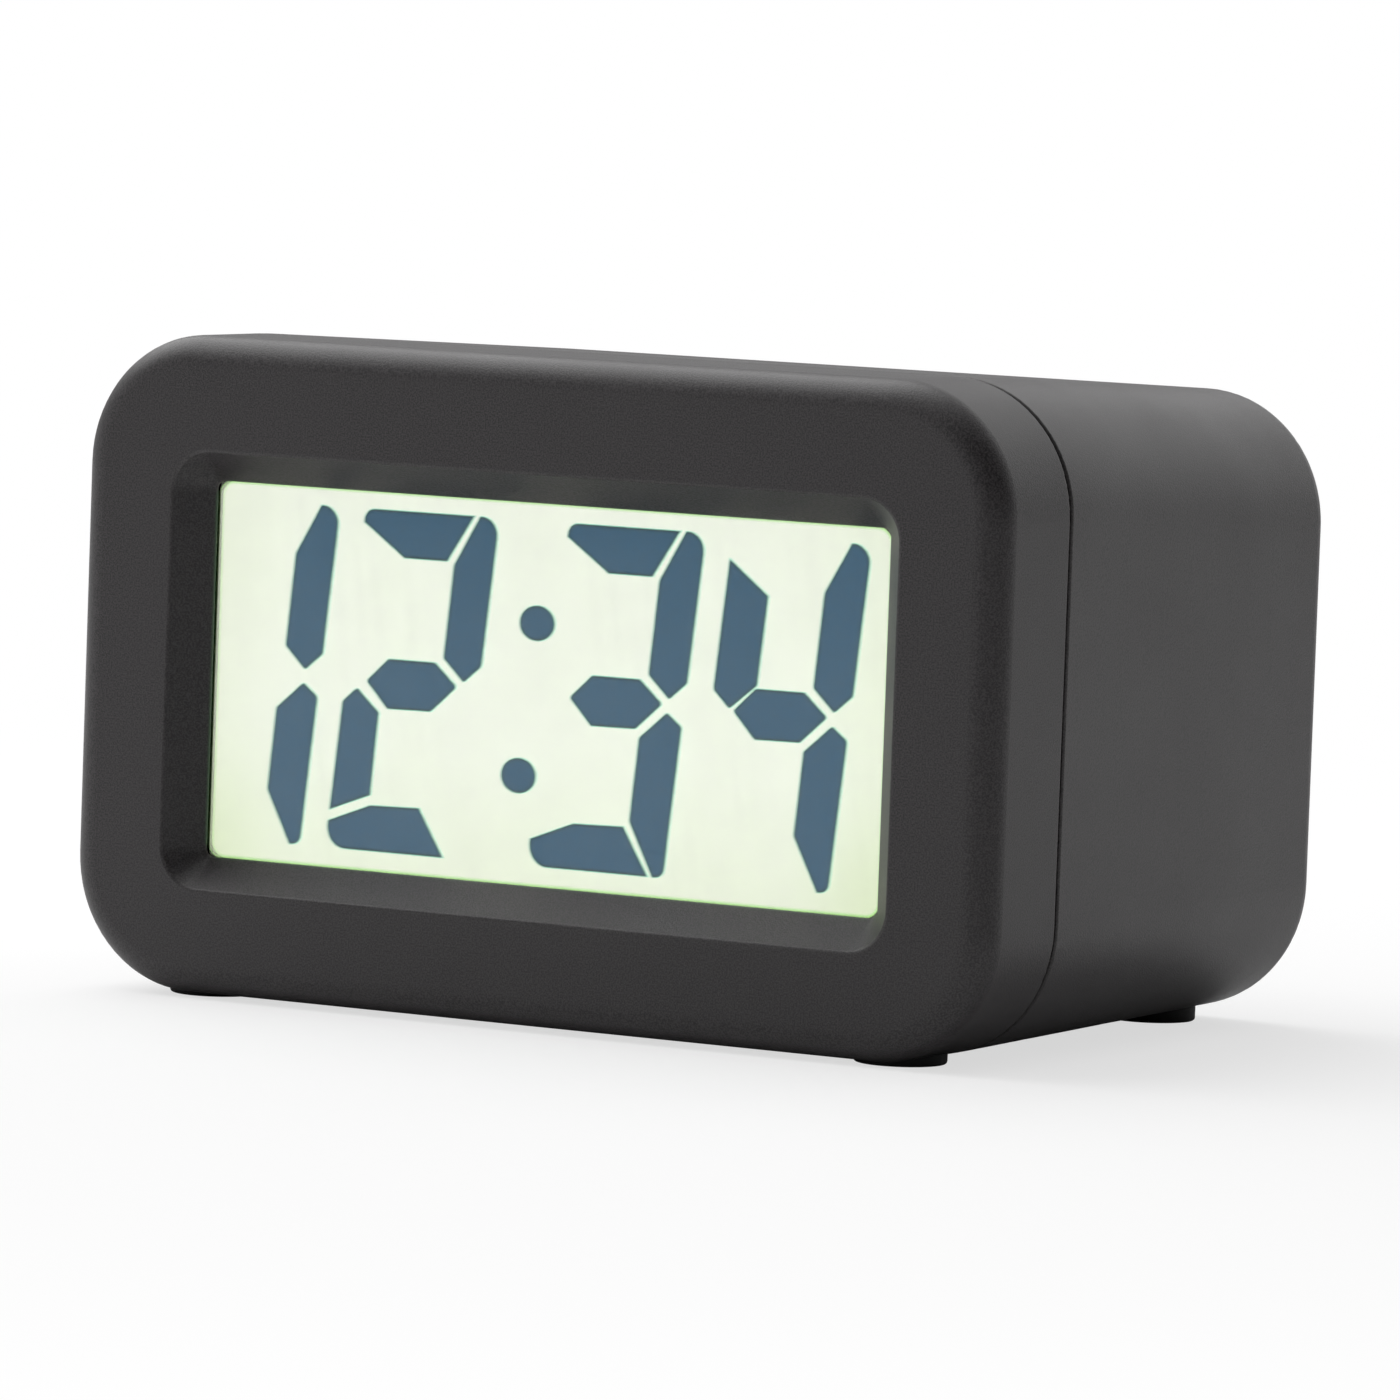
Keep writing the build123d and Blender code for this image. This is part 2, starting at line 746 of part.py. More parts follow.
def make_display_frame():
    """The tray that holds glass, sheets and light guide, with four screw ears."""
    tray = slab(Pos(0, window_z) * Rectangle(frame_width, frame_height), polariser_y, board_y)
    for x, z in ear_places():
        inner = math.copysign(frame_width / 2 - frame_wall / 2, x)
        outer = math.copysign(ear_x + board_screw_inset, x)
        low, high = min(inner, outer), max(inner, outer)
        tray += block(low, high, floor_y, board_y, z - ear_width / 2, z + ear_width / 2)
    tray -= plate(pocket_width, pocket_height, polariser_y - overrun, cell_y)
    tray -= plate(pocket_width, inner_pocket_height, cell_y - touch, floor_y)
    for x0, x1, z0, z1 in strip_slots(touch):
        tray -= block(x0, x1, cell_y - touch, board_y + overrun, z0, z1)
    for x, z in ear_places():
        tray -= rod_y(small_screw_radius + hole_clearance, x, z, floor_y - overrun, board_y + overrun)
    for x, z in backlight_pin_places():
        tray -= rod_y(pin_radius + touch, x, z, floor_y - overrun, board_y + overrun)
    return tray


def make_conductive_strips():
    """The two striped rubber strips that join the glass to the board."""
    return Compound(children=[block(x0, x1, cell_y, board_y, z0, z1) for x0, x1, z0, z1 in strip_slots(0)])


def led_face_x():
    """X of the lit faces of the LEDs."""
    return glass_width / 2 - guide_end_gap + touch


def led_board_x():
    """X of the LED board's front face."""
    return led_face_x() + led_depth


def led_middle_y():
    """The middle depth of the light guide."""
    return guide_y + guide_thickness / 2


def backlight_pin_places():
    """X and Z of the two pins that carry the LED board."""
    reach = led_board_height / 2 - pin_from_end
    x = led_board_x() + led_board_thickness / 2
    return [(x, window_z - reach), (x, window_z + reach)]


def make_backlight():
    """The LED board on edge beside the light guide, its LEDs and its pins."""
    x = led_board_x()
    y = led_middle_y()
    half = led_board_height / 2
    board = block(x, x + led_board_thickness, y - led_board_width / 2, y + led_board_width / 2,
                  window_z - half, window_z + half)
    leds = []
    for index in range(led_count):
        z = window_z + (index - (led_count - 1) / 2) * led_pitch
        leds.append(block(led_face_x(), x, y - led_width / 2, y + led_width / 2,
                          z - led_length / 2, z + led_length / 2))
    pins = [rod_y(pin_radius, px, pz, y + led_board_width / 2, board_y)
            for px, pz in backlight_pin_places()]
    return {"backlight_board": board, "backlight_leds": Compound(children=leds),
            "backlight_pins": Compound(children=pins)}


def make_main_board():
    """The main board with two wings for its screws."""
    middle = Rectangle(frame_width - board_margin, frame_height - board_margin)
    wings = Rectangle(2 * (ear_x + board_screw_inset), wing_height)
    board = slab(Pos(0, window_z) * (middle + wings), board_y, board_back_y)
    for x, z in ear_places():
        board -= rod_y(small_screw_radius + hole_clearance, x, z, board_y - overrun, board_back_y + overrun)
    return board


def make_board_parts():
    """The components on the back of the main board."""
    y = board_back_y
    chip = rod_y(chip_radius, chip_x, window_z + chip_rise, y, y + chip_height)
    chip = fillet(chip.edges().filter_by(GeomType.CIRCLE).sort_by(Axis.Y)[-1], chip_height - touch)
    half = crystal_length / 2
    crystal = rod_x(crystal_radius, y + crystal_radius, window_z + crystal_rise,
                    crystal_x - half, crystal_x + half)
    capacitors = [rod_y(capacitor_radius, capacitor_x + step * capacitor_pitch,
                        window_z + capacitor_rise, y, y + capacitor_length) for step in (0, 1)]
    resistors = []
    for row in range(resistor_rows):
        for column in range(resistor_columns):
            x = resistor_x + column * resistor_pitch
            z = window_z + resistor_rise + row * resistor_pitch
            resistors.append(block(x, x + resistor_length, y, y + resistor_height, z, z + resistor_width))
    return {"clock_chip": chip, "quartz_crystal": crystal,
            "capacitors": Compound(children=capacitors), "resistors": Compound(children=resistors)}


def make_screws():
    """All screws, one node for each kind."""
    case = [screw(x, z, boss_meet_y + well_floor, case_screw_length, case_screw_radius,
                  case_screw_head_radius, case_screw_head_height) for x, z in case_screw_places()]
    board = [screw(x, z, board_back_y, small_screw_length, small_screw_radius,
                   small_head_radius, small_head_height) for x, z in ear_places()]
    keys = [screw(x, key_z, key_board_y, small_screw_length, small_screw_radius,
                  small_head_radius, small_head_height, forward=False) for x in key_board_screw_places]
    under = body_top - snooze_board_drop - snooze_board_thickness
    snooze = []
    for x in snooze_screw_places():
        shank = rod_z(small_screw_radius, x, bar_y, under, under + small_screw_length)
        head = rod_z(small_head_radius, x, bar_y, under - small_head_height, under)
        snooze.append(shank + head)
    return {"case_screws": Compound(children=case), "board_screws": Compound(children=board),
            "key_board_screws": Compound(children=keys), "snooze_board_screws": Compound(children=snooze)}


def key_mark(index):
    """The shallow mark on a key: ring, dot, up arrow and down arrow."""
    size = key_mark_size
    outlines = (Circle(size) - Circle(size / 2), Circle(size / 2),
                RegularPolygon(size, 3, rotation=90), RegularPolygon(size, 3, rotation=-90))
    mark = Pos(key_places[index], key_z) * outlines[index]
    return slab(mark, key_face_y - key_mark_depth, key_face_y + overrun)


def make_keys():
    """The four rear keys and the plungers of their switches."""
    parts = {}
    for index, name in enumerate(key_names):
        x = key_places[index]
        cap = rod_y(key_radius, x, key_z, key_flange_y, key_face_y)
        cap = fillet(cap.edges().filter_by(GeomType.CIRCLE).sort_by(Axis.Y)[-1], key_edge)
        cap += rod_y(key_radius + key_flange, x, key_z, key_flange_y, key_flange_y + key_flange_thickness)
        cap += rod_y(key_stem_radius, x, key_z, key_stem_y, key_flange_y)
        parts[name + "_key"] = cap - key_mark(index)
        parts[name + "_plunger"] = rod_y(plunger_radius, x, key_z, switch_top_y - plunger_depth, key_stem_y)
    return parts


def make_key_board():
    """The board behind the rear keys, with its four key switches."""
    outline = Pos(0, key_z) * Rectangle(2 * key_board_half, key_board_height)
    board = slab(outline, key_board_y, switch_base_y)
    for x in key_board_screw_places:
        board -= rod_y(small_screw_radius + hole_clearance, x, key_z, key_board_y - overrun,
                       switch_base_y + overrun)
    half = switch_size / 2
    switches = []
    for index in range(len(key_names)):
        x = key_places[index]
        body = block(x - half, x + half, switch_base_y, switch_top_y, key_z - half, key_z + half)
        switches.append(body - rod_y(plunger_bore, x, key_z, switch_top_y - plunger_pocket,
                                     switch_top_y + overrun))
    return {"key_board": board, "key_switches": Compound(children=switches)}


def make_alarm_slide():
    """The alarm knob with its skirt and stem, and the slide switch."""
    half = slide_knob_width / 2
    x = slide_x - slide_travel / 2
    top = panel_y + key_proud
    knob = block(x - half, x + half, inner_rear_y - key_rest_gap, top,
                 key_z - slide_knob_height / 2, key_z + slide_knob_height / 2)
    for step in range(slide_ridge_count):
        ridge_x = x + (step - (slide_ridge_count - 1) / 2) * slide_ridge_pitch
        knob -= block(ridge_x - slide_ridge_width / 2, ridge_x + slide_ridge_width / 2,
                      top - slide_ridge_depth, top + overrun, key_z - slide_knob_height,
                      key_z + slide_knob_height)
    skirt_half = half + slide_travel / 2 + slide_skirt
    skirt_y = inner_rear_y - key_rest_gap - slide_skirt_thickness
    knob += block(x - skirt_half, x + skirt_half, skirt_y, skirt_y + slide_skirt_thickness,
                  key_z - slide_knob_height / 2 - slide_skirt, key_z + slide_knob_height / 2 + slide_skirt)
    switch_top = switch_base_y + slide_switch_depth
    stem_half = slide_stem_width / 2
    knob += block(x - stem_half, x + stem_half, switch_top - slide_switch_depth / 2, skirt_y,
                  key_z - slide_stem_height / 2, key_z + slide_stem_height / 2)
    wide, tall = slide_switch_width / 2, slide_switch_height / 2
    body = block(slide_x - wide, slide_x + wide, switch_base_y, switch_top, key_z - tall, key_z + tall)
    slot = stem_half + slide_travel / 2 + touch
    body -= block(slide_x - slot, slide_x + slot, switch_base_y + slide_switch_wall, switch_top + overrun,
                  key_z - slide_stem_height / 2 - touch, key_z + slide_stem_height / 2 + touch)
    return {"alarm_slide_knob": knob, "alarm_slide_switch": body}


def bar_prism(margin, low, high):
    """An upright prism with the bar's outline, larger by margin all round."""
    outline = RectangleRounded(bar_length + 2 * margin, bar_width + 2 * margin, bar_corner + margin)
    return extrude(Plane.XY.offset(low) * Pos(0, bar_y) * outline, high - low)


def make_snooze_bar():
    """The bar, flush with the sloping top, with a flange under the roof and a stem."""
    ceiling = body_top - rear_top_drop * rear_share(bar_y) - wall
    low = ceiling - 2 * bar_flange_thickness
    bar = bar_prism(0, low, body_top + overrun) & shell_body(joint_y, rear_y, 0)
    bar = fillet(bar.faces().sort_by(Axis.Z)[-1].edges(), bar_edge)
    flange_low = ceiling - bar_flange_thickness - key_rest_gap
    flange = bar_prism(bar_flange, flange_low, body_top) & shell_body(joint_y, rear_y, wall + key_rest_gap)
    hollow = bar_prism(-wall, low - overrun, flange_low)
    bar = bar + flange - hollow
    stem_low = snooze_plunger_top()
    return bar + rod_z(bar_stem_radius, 0, bar_y, stem_low, flange_low + touch)


def snooze_switch_top():
    """The top of the switch under the bar."""
    return body_top - snooze_board_drop + switch_height


def snooze_plunger_top():
    """The height at which the bar's stem rests on the plunger."""
    return snooze_switch_top() + plunger_reach


def make_snooze_board():
    """The small board under the bar, its switch and the plunger."""
    top = body_top - snooze_board_drop
    low = top - snooze_board_thickness
    half = snooze_board_length / 2
    wide = snooze_board_width / 2
    board = block(-half, half, bar_y - wide, bar_y + wide, low, top)
    for x in snooze_screw_places():
        board -= rod_z(small_screw_radius + hole_clearance, x, bar_y, low - overrun, top + overrun)
    side = switch_size / 2
    high = snooze_switch_top()
    body = block(-side, side, bar_y - side, bar_y + side, top, high)
    body -= rod_z(plunger_bore, 0, bar_y, high - plunger_pocket, high + overrun)
    plunger = rod_z(plunger_radius, 0, bar_y, high - plunger_depth, snooze_plunger_top())
    return {"snooze_board": board, "snooze_switch": body, "snooze_plunger": plunger}


def make_battery_door():
    """The door: a plate with a round lower edge, end pins, a catch and grip grooves."""
    half = door_width / 2
    outline = Pos(0, (hinge_z + door_top) / 2) * Rectangle(door_width, door_top - hinge_z)
    door = slab(outline, door_inner_y, rear_y)
    corners = door.edges().filter_by(Axis.Y).group_by(Axis.Z)[-1]
    door = fillet(corners, door_corner)
    door += rod_x(door_edge_radius, hinge_y, hinge_z, -half, half)
    pin = half + door_pin_length - touch
    door += rod_x(door_pin_radius, hinge_y, hinge_z, -pin, pin)
    catch_top = bay_top - door_catch_drop
    door += block(-door_catch_length / 2, door_catch_length / 2, door_inner_y - door_catch_depth,
                  door_inner_y + touch, catch_top - door_catch_thickness, catch_top)
    for step in range(door_grip_count):
        z = door_top - door_grip_drop - step * door_grip_pitch
        groove = Pos(0, z) * SlotOverall(door_grip_length, door_grip_width)
        door -= slab(groove, rear_y - door_grip_depth, rear_y + overrun)
    return door


def make_cell(z, positive_x):
    """A round cell lying along X, with its nub towards positive_x."""
    side = math.copysign(1, positive_x)
    nub_x = positive_x
    can_end = positive_x - side * cell_nub_height
    other_end = positive_x - side * cell_length
    can = rod_x(cell_radius, cell_centre_y, z, min(can_end, other_end), max(can_end, other_end))
    can = fillet(can.edges().filter_by(GeomType.CIRCLE), cell_rounding)
    inside = can_end - side * cell_rounding
    return can + rod_x(cell_nub_radius, cell_centre_y, z, min(nub_x, inside), max(nub_x, inside))


def contact_plate(x0, x1, z):
    """A square contact plate against an end wall of the bay."""
    half = contact_width / 2
    return block(x0, x1, cell_centre_y - half, cell_centre_y + half, z - half, z + half)


def make_contacts():
    """The bridge plate on the left and two plates with solder tabs on the right."""
    end = bay_length / 2
    parts = {}
    bridge = contact_plate(-end, -plate_x, lower_cell_z) + contact_plate(-end, -plate_x, upper_cell_z)
    half = contact_width / 2
    bridge += block(-end, -plate_x, cell_centre_y - half, cell_centre_y, lower_cell_z, upper_cell_z)
    parts["bridge_contact"] = bridge
    y = cell_centre_y - tab_drop
    for name, z, _ in contact_slots():
        tab = block(end - contact_thickness, end + tab_length, y - contact_thickness / 2,
                    y + contact_thickness / 2, z - tab_width / 2, z + tab_width / 2)
        parts[name + "_contact"] = contact_plate(plate_x, end, z) + tab
    return parts


def coil_place(turn):
    """A spring's centreline and its direction this many turns along X from its wide end."""
    angle = 2 * math.pi * turn
    narrowing = (spring_end_radius - spring_radius) / spring_turns
    radius = spring_radius + narrowing * turn
    pitch = (spring_length - 2 * spring_wire_radius) / spring_turns
    place = Vector(pitch * turn, radius * math.cos(angle), radius * math.sin(angle))
    heading = Vector(pitch, narrowing * math.cos(angle) - 2 * math.pi * radius * math.sin(angle),
                     narrowing * math.sin(angle) + 2 * math.pi * radius * math.cos(angle))
    return place, heading.normalized()


def biarc(start, heading, end, end_heading):
    """Two arcs that join two places and meet smoothly."""
    across = end - start
    along = across.dot(heading + end_heading)
    spread = 1 - heading.dot(end_heading)
    reach = (math.sqrt(along ** 2 + 2 * spread * across.dot(across)) - along) / (2 * spread)
    before = start + heading * reach
    after = end - end_heading * reach
    middle = (before + after) * 0.5
    return [TangentArc(start, middle, tangent=heading),
            TangentArc(middle, end, tangent=(after - before).normalized())]


def spring_coil():
    """A conical coil along X from its wide end, as one swept wire."""
    arcs = []
    for step in range(2 * spring_turns):
        arcs += biarc(*coil_place(step / 2), *coil_place((step + 1) / 2))
    path = Wire(arcs)
    section = Plane(origin=path @ 0, z_dir=path % 0) * Circle(spring_wire_radius)
    return sweep(section, path)


def least_spring_gap():
    """The least gap between the wire of one turn and the next, on points."""
    steps = [step / spring_gap_points for step in range(spring_turns * spring_gap_points + 1)]
    pairs = [(one, other) for one in steps for other in steps if other - one > 1 / 2]
    least = min((coil_place(one)[0] - coil_place(other)[0]).length for one, other in pairs)
    return least - 2 * spring_wire_radius


def make_springs():
    """The two battery springs: upper left and lower right, each from its plate to its cell."""
    spring = Pos(spring_wire_radius - plate_x, 0, 0) * spring_coil()
    upper = Pos(0, cell_centre_y, upper_cell_z) * spring
    lower = Pos(0, cell_centre_y, lower_cell_z) * Rot(0, 0, 180) * spring
    return Compound(children=[upper, lower])


def make_sounder():
    """The sounder's case, open towards the sound holes, and its disc."""
    y0 = sounder_front_y
    case = rod_y(sounder_radius, sounder_x, sounder_z, y0, inner_rear_y)
    case -= rod_y(sounder_radius - sounder_wall, sounder_x, sounder_z, y0 + sounder_wall + disc_step,
                  inner_rear_y - sounder_wall)
    case -= rod_y(disc_radius - sounder_wall, sounder_x, sounder_z, y0 + sounder_wall,
                  y0 + sounder_wall + disc_step + touch)
    case -= rod_y(sounder_port_radius, sounder_x, sounder_z, inner_rear_y - sounder_wall - touch,
                  inner_rear_y + overrun)
    seat_y = y0 + sounder_wall + disc_step
    disc = rod_y(disc_radius, sounder_x, sounder_z, seat_y, seat_y + disc_thickness)
    return {"sounder_case": case, "sounder_disc": disc}


def lead_path(points):
    """Straight runs joined by tangent arcs, each arc as large as its two runs allow."""
    places = [Vector(*point) for point in points]
    radii = []
    for before, here, after in zip(places, places[1:], places[2:]):
        turn = math.radians((here - before).get_angle(after - here))
        run = min((here - before).length, (after - here).length)
        radii.append(lead_bend_share * run / math.tan(turn / 2))
    return FilletPolyline(*places, radius=radii)


def lead(points):
    """A round insulated lead along its path."""
    path = lead_path(points)
    section = Plane(origin=path @ 0, z_dir=path % 0) * Circle(lead_radius)
    return sweep(section, path)


# Routes of the leads, from their pads on the main board backwards: how far along
# the route's span each point lies, then its place across and up in lead pitches
battery_lead_shares = ((0.0, 3.0, 2.0), (0.16, 3.0, 2.0), (0.4, 2.0, 1.3), (0.68, 0.6, 0.4),
                       (0.86, 0.0, 0.0), (1.0, 0.0, 0.0))
sounder_lead_shares = ((0.0, 2.0, 1.0), (0.15, 2.0, 1.0), (0.38, 1.6, -0.2), (0.64, 0.6, -0.8),
                       (0.86, 0.0, 0.0), (1.0, 0.0, 0.0))
ribbon_shares = ((0.0, -2.0), (0.2, -2.0), (0.5, -4.0), (0.8, 0.0), (1.0, 0.0))
# The leads to the small board: along the span in Y, and up from the window's middle
snooze_lead_shares = ((0.0, 0.58), (0.32, 0.58), (0.68, 0.6), (1.0, 0.76), (1.0, 1.0))


def make_battery_leads():
    """The red and black leads from the main board to the two solder tabs."""
    x = bay_length / 2 + tab_length - lead_radius
    end_y = cell_centre_y - tab_drop - contact_thickness / 2
    span = end_y - board_back_y
    parts = {}
    for name, (_, z, _) in zip(("red_lead", "black_lead"), contact_slots()):
        route = [(x + across * lead_pitch, board_back_y + along * span, z + rise * lead_pitch)
                 for along, across, rise in battery_lead_shares]
        parts[name] = lead(route)
    return parts


def make_sounder_leads():
    """The pair of leads from the main board to the sounder."""
    solids = []
    span = sounder_front_y - board_back_y
    for side in (-1, 1):
        x = sounder_x + side * lead_pitch / 2
        route = [(x + across * lead_pitch, board_back_y + along * span,
                  sounder_z + rise * lead_pitch)
                 for along, across, rise in sounder_lead_shares]
        solids.append(lead(route))
    return Compound(children=solids)


def make_snooze_leads():
    """The pair of leads from the main board up to the small board."""
    solids = []
    under = body_top - snooze_board_drop - snooze_board_thickness
    for side in (-1, 1):
        x = bar_length / 4 + side * lead_pitch / 2
        route = [(x, board_back_y + along * (bar_y - board_back_y), window_z + up * (under - window_z))
                 for along, up in snooze_lead_shares]
        solids.append(lead(route))
    return Compound(children=solids)


def make_key_ribbon():
    """The flat ribbon between the key board and the main board."""
    span = key_board_y - board_back_y
    z = key_z - key_board_height / 4
    route = [(ribbon_x, board_back_y + along * span, z + rise * lead_pitch)
             for along, rise in ribbon_shares]
    path = lead_path(route)
    section = Plane(origin=path @ 0, x_dir=(1, 0, 0), z_dir=path % 0) * Rectangle(
        ribbon_width, ribbon_thickness)
    return sweep(section, path)


def make_feet():
    """Four round rubber feet, seated in the underside."""
    feet = []
    for x, y in foot_places():
        foot = rod_z(foot_radius, x, y, 0, underside(y) + foot_recess)
        feet.append(fillet(foot.edges().filter_by(GeomType.CIRCLE).sort_by(Axis.Z)[0], foot_edge))
    return Compound(children=feet)


def make_all():
    """Every node of the clock, by name."""
    parts = {
        "front_bezel": make_front_bezel(),
        "rear_shell": make_rear_shell(),
        "window_tape": make_window_tape(),
        "display_window": make_display_window(),
        "lcd_digits": make_lcd_digits(),
        "display_frame": make_display_frame(),
        "conductive_strips": make_conductive_strips(),
        "main_board": make_main_board(),
        "snooze_bar": make_snooze_bar(),
        "battery_door": make_battery_door(),
        "upper_cell": make_cell(upper_cell_z, plate_x),
        "lower_cell": make_cell(lower_cell_z, -plate_x),
        "battery_springs": make_springs(),
        "sounder_leads": make_sounder_leads(),
        "snooze_leads": make_snooze_leads(),
        "key_ribbon": make_key_ribbon(),
        "rubber_feet": make_feet(),
    }
    groups = (make_glass_layers(), make_backlight(), make_board_parts(), make_screws(), make_keys(),
              make_key_board(), make_alarm_slide(), make_snooze_board(), make_contacts(),
              make_sounder(), make_battery_leads())
    for group in groups:
        parts.update(group)
    return parts


print(f"Least gap between the spring's turns: {least_spring_gap():.2f} mm")
os.makedirs("parts", exist_ok=True)
for node, shape in make_all().items():
    export_step(shape, f"parts/{node}.step")
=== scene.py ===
import json
import math

import bmesh
import bpy
from bpy.props import FloatProperty, FloatVectorProperty, IntProperty, PointerProperty
from mathutils import Euler, Matrix, Vector


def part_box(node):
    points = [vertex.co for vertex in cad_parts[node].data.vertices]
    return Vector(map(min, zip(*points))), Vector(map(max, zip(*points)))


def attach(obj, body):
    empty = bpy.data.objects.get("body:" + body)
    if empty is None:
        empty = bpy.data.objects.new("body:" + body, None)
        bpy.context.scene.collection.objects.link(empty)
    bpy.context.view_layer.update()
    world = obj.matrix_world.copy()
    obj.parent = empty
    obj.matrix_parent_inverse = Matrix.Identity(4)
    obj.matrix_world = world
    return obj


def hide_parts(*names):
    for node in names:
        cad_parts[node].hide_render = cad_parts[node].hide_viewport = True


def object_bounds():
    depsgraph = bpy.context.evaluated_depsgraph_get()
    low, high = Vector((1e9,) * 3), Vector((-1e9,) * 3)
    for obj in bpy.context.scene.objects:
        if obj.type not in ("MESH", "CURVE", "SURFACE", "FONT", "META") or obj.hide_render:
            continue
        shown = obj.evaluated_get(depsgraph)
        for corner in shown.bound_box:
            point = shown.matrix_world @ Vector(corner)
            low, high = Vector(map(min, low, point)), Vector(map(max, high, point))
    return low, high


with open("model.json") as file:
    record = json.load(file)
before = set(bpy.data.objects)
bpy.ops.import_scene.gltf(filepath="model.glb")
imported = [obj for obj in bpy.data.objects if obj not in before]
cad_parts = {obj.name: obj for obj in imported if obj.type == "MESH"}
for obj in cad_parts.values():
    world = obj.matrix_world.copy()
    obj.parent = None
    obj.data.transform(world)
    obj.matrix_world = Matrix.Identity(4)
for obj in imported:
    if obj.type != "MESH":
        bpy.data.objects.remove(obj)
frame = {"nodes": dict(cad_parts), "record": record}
cad_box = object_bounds()

bl_info = {
    "name": "Lit desk clock",
    "version": (1, 0, 0),
    "blender": (4, 5, 0),
    "location": "View3D > Sidebar > Desk clock",
    "description": "Finishes a battery desk clock with a lit liquid-crystal display",
    "category": "Object",
}

# Names and places that come from the frame
nodes = frame["nodes"]
record = frame["record"]
body_of = {node: body for body, members in record["behaviour"]["bodies"].items() for node in members}
mm = 0.001

# Camera, as fitted to the photograph: the eye, its direction and its focal length
photo_side = 1400
focal_pixels = 10447.2
sensor_width = 36.0
camera_eye = Vector((654.43, -1076.21, 133.41)) * mm
camera_yaw = math.radians(31.344)
camera_pitch = math.radians(4.365)
camera_roll = math.radians(2.048)


def box_middle(node):
    """The middle of a node's box."""
    low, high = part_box(node)
    return (low + high) / 2


class CaseSettings(bpy.types.PropertyGroup):
    """The moulded case and its keys."""

    colour: FloatVectorProperty(name="Case colour", description="Colour of the soft-touch case",
                                subtype="COLOR", size=3, min=0.0, max=1.0, default=(0.0295, 0.0262, 0.0278))
    # Painted highlight: this lighter edge colour stands partly for real wear and partly for the light line
    # that edges and lips catch.
    worn_colour: FloatVectorProperty(name="Worn edge colour", description="Colour where edges are rubbed",
                                     subtype="COLOR", size=3, min=0.0, max=1.0,
                                     default=(0.105, 0.096, 0.09))
    key_colour: FloatVectorProperty(name="Key colour", description="Colour of keys, slide and snooze bar",
                                    subtype="COLOR", size=3, min=0.0, max=1.0,
                                    default=(0.047, 0.044, 0.045))
    roughness: FloatProperty(name="Roughness", description="How matt the case is", subtype="FACTOR",
                             min=0.0, max=1.0, default=0.44)
    grain_size: FloatProperty(name="Grain size", description="Width of one grain of the soft-touch coat",
                              unit="LENGTH", min=0.00005, default=0.2 * mm)
    grain_depth: FloatProperty(name="Grain depth", description="Height of the grain", unit="LENGTH",
                               min=0.0, default=0.012 * mm)
    # This reach is also the width of the painted highlight along edges and lips.
    wear_and_highlight_reach: FloatProperty(name="Edge wear reach", description="How far wear spreads from an edge",
                              unit="LENGTH", min=0.0, default=0.5 * mm)
    speckle: FloatProperty(name="Speckle", description="How much the grain's tone varies",
                           subtype="FACTOR", min=0.0, max=1.0, default=0.62)
    # The leak is a painted glow: the bezel itself gives off this colour, standing for the backlight falling
    # on the recess's foot.
    leak_colour: FloatVectorProperty(name="Leak colour",
                                     description="Colour of the backlight caught by the recess's foot",
                                     subtype="COLOR", size=3, min=0.0, max=1.0,
                                     default=(0.003, 0.03, 0.005))
    leak_width: FloatProperty(name="Leak width", description="How far the leak reaches up the recess",
                              unit="LENGTH", min=0.0, default=0.25 * mm)


class DisplaySettings(bpy.types.PropertyGroup):
    """The lit display."""

    view_width: FloatProperty(name="View width", description="Width of the opening before the display",
                              unit="LENGTH", min=0.001, default=93.74 * mm)
    view_height: FloatProperty(name="View height", description="Height of the opening before the display",
                               unit="LENGTH", min=0.001, default=45.3 * mm)
    # The green rim is painted light: a tint on the pane at the lit view's border.
    rim_width: FloatProperty(name="Rim width", description="Width of the green leak at the border",
                             unit="LENGTH", min=0.0, default=0.45 * mm)
    corner: FloatProperty(name="View corner", description="Radius of the lit view's corners", unit="LENGTH",
                          min=0.0, default=1.9 * mm)
    ground_colour: FloatVectorProperty(name="Ground colour", description="Colour of the lit ground",
                                       subtype="COLOR", size=3, min=0.0, max=1.0,
                                       default=(1.0, 1.0, 0.965))
    edge_colour: FloatVectorProperty(name="Dim edge colour", description="Colour of the ground at its edges",
                                     subtype="COLOR", size=3, min=0.0, max=1.0, default=(0.82, 0.88, 0.68))
    rim_colour: FloatVectorProperty(name="Rim colour", description="Yellow-green leak at the border",
                                    subtype="COLOR", size=3, min=0.0, max=1.0, default=(0.4, 0.82, 0.24))
    brightness: FloatProperty(name="Brightness", description="Strength of the backlight", min=0.0,
                              default=0.88)
    segment_colour: FloatVectorProperty(name="Segment colour", description="Colour of the dark segments",
                                        subtype="COLOR", size=3, min=0.0, max=1.0,
                                        default=(0.004, 0.07, 0.142))
    # The darker edge inside a segment is painted shade, and the pale fringe outside it is painted light.
    segment_edge_colour: FloatVectorProperty(name="Segment edge colour",
                                             description="Colour just inside a segment's border",
                                             subtype="COLOR", size=3, min=0.0, max=1.0,
                                             default=(0.0, 0.03, 0.04))
    fringe_colour: FloatVectorProperty(name="Fringe colour", description="Colour of a segment's outer fringe",
                                       subtype="COLOR", size=3, min=0.0, max=1.0,
                                       default=(0.3, 0.72, 0.55))
    fringe_width: FloatProperty(name="Fringe width", description="Width of the fringe outside a segment",
                                unit="LENGTH", min=0.0, default=0.2 * mm)
    edge_width: FloatProperty(name="Edge width", description="Width of the darker edge inside a segment",
                              unit="LENGTH", min=0.0, default=0.3 * mm)


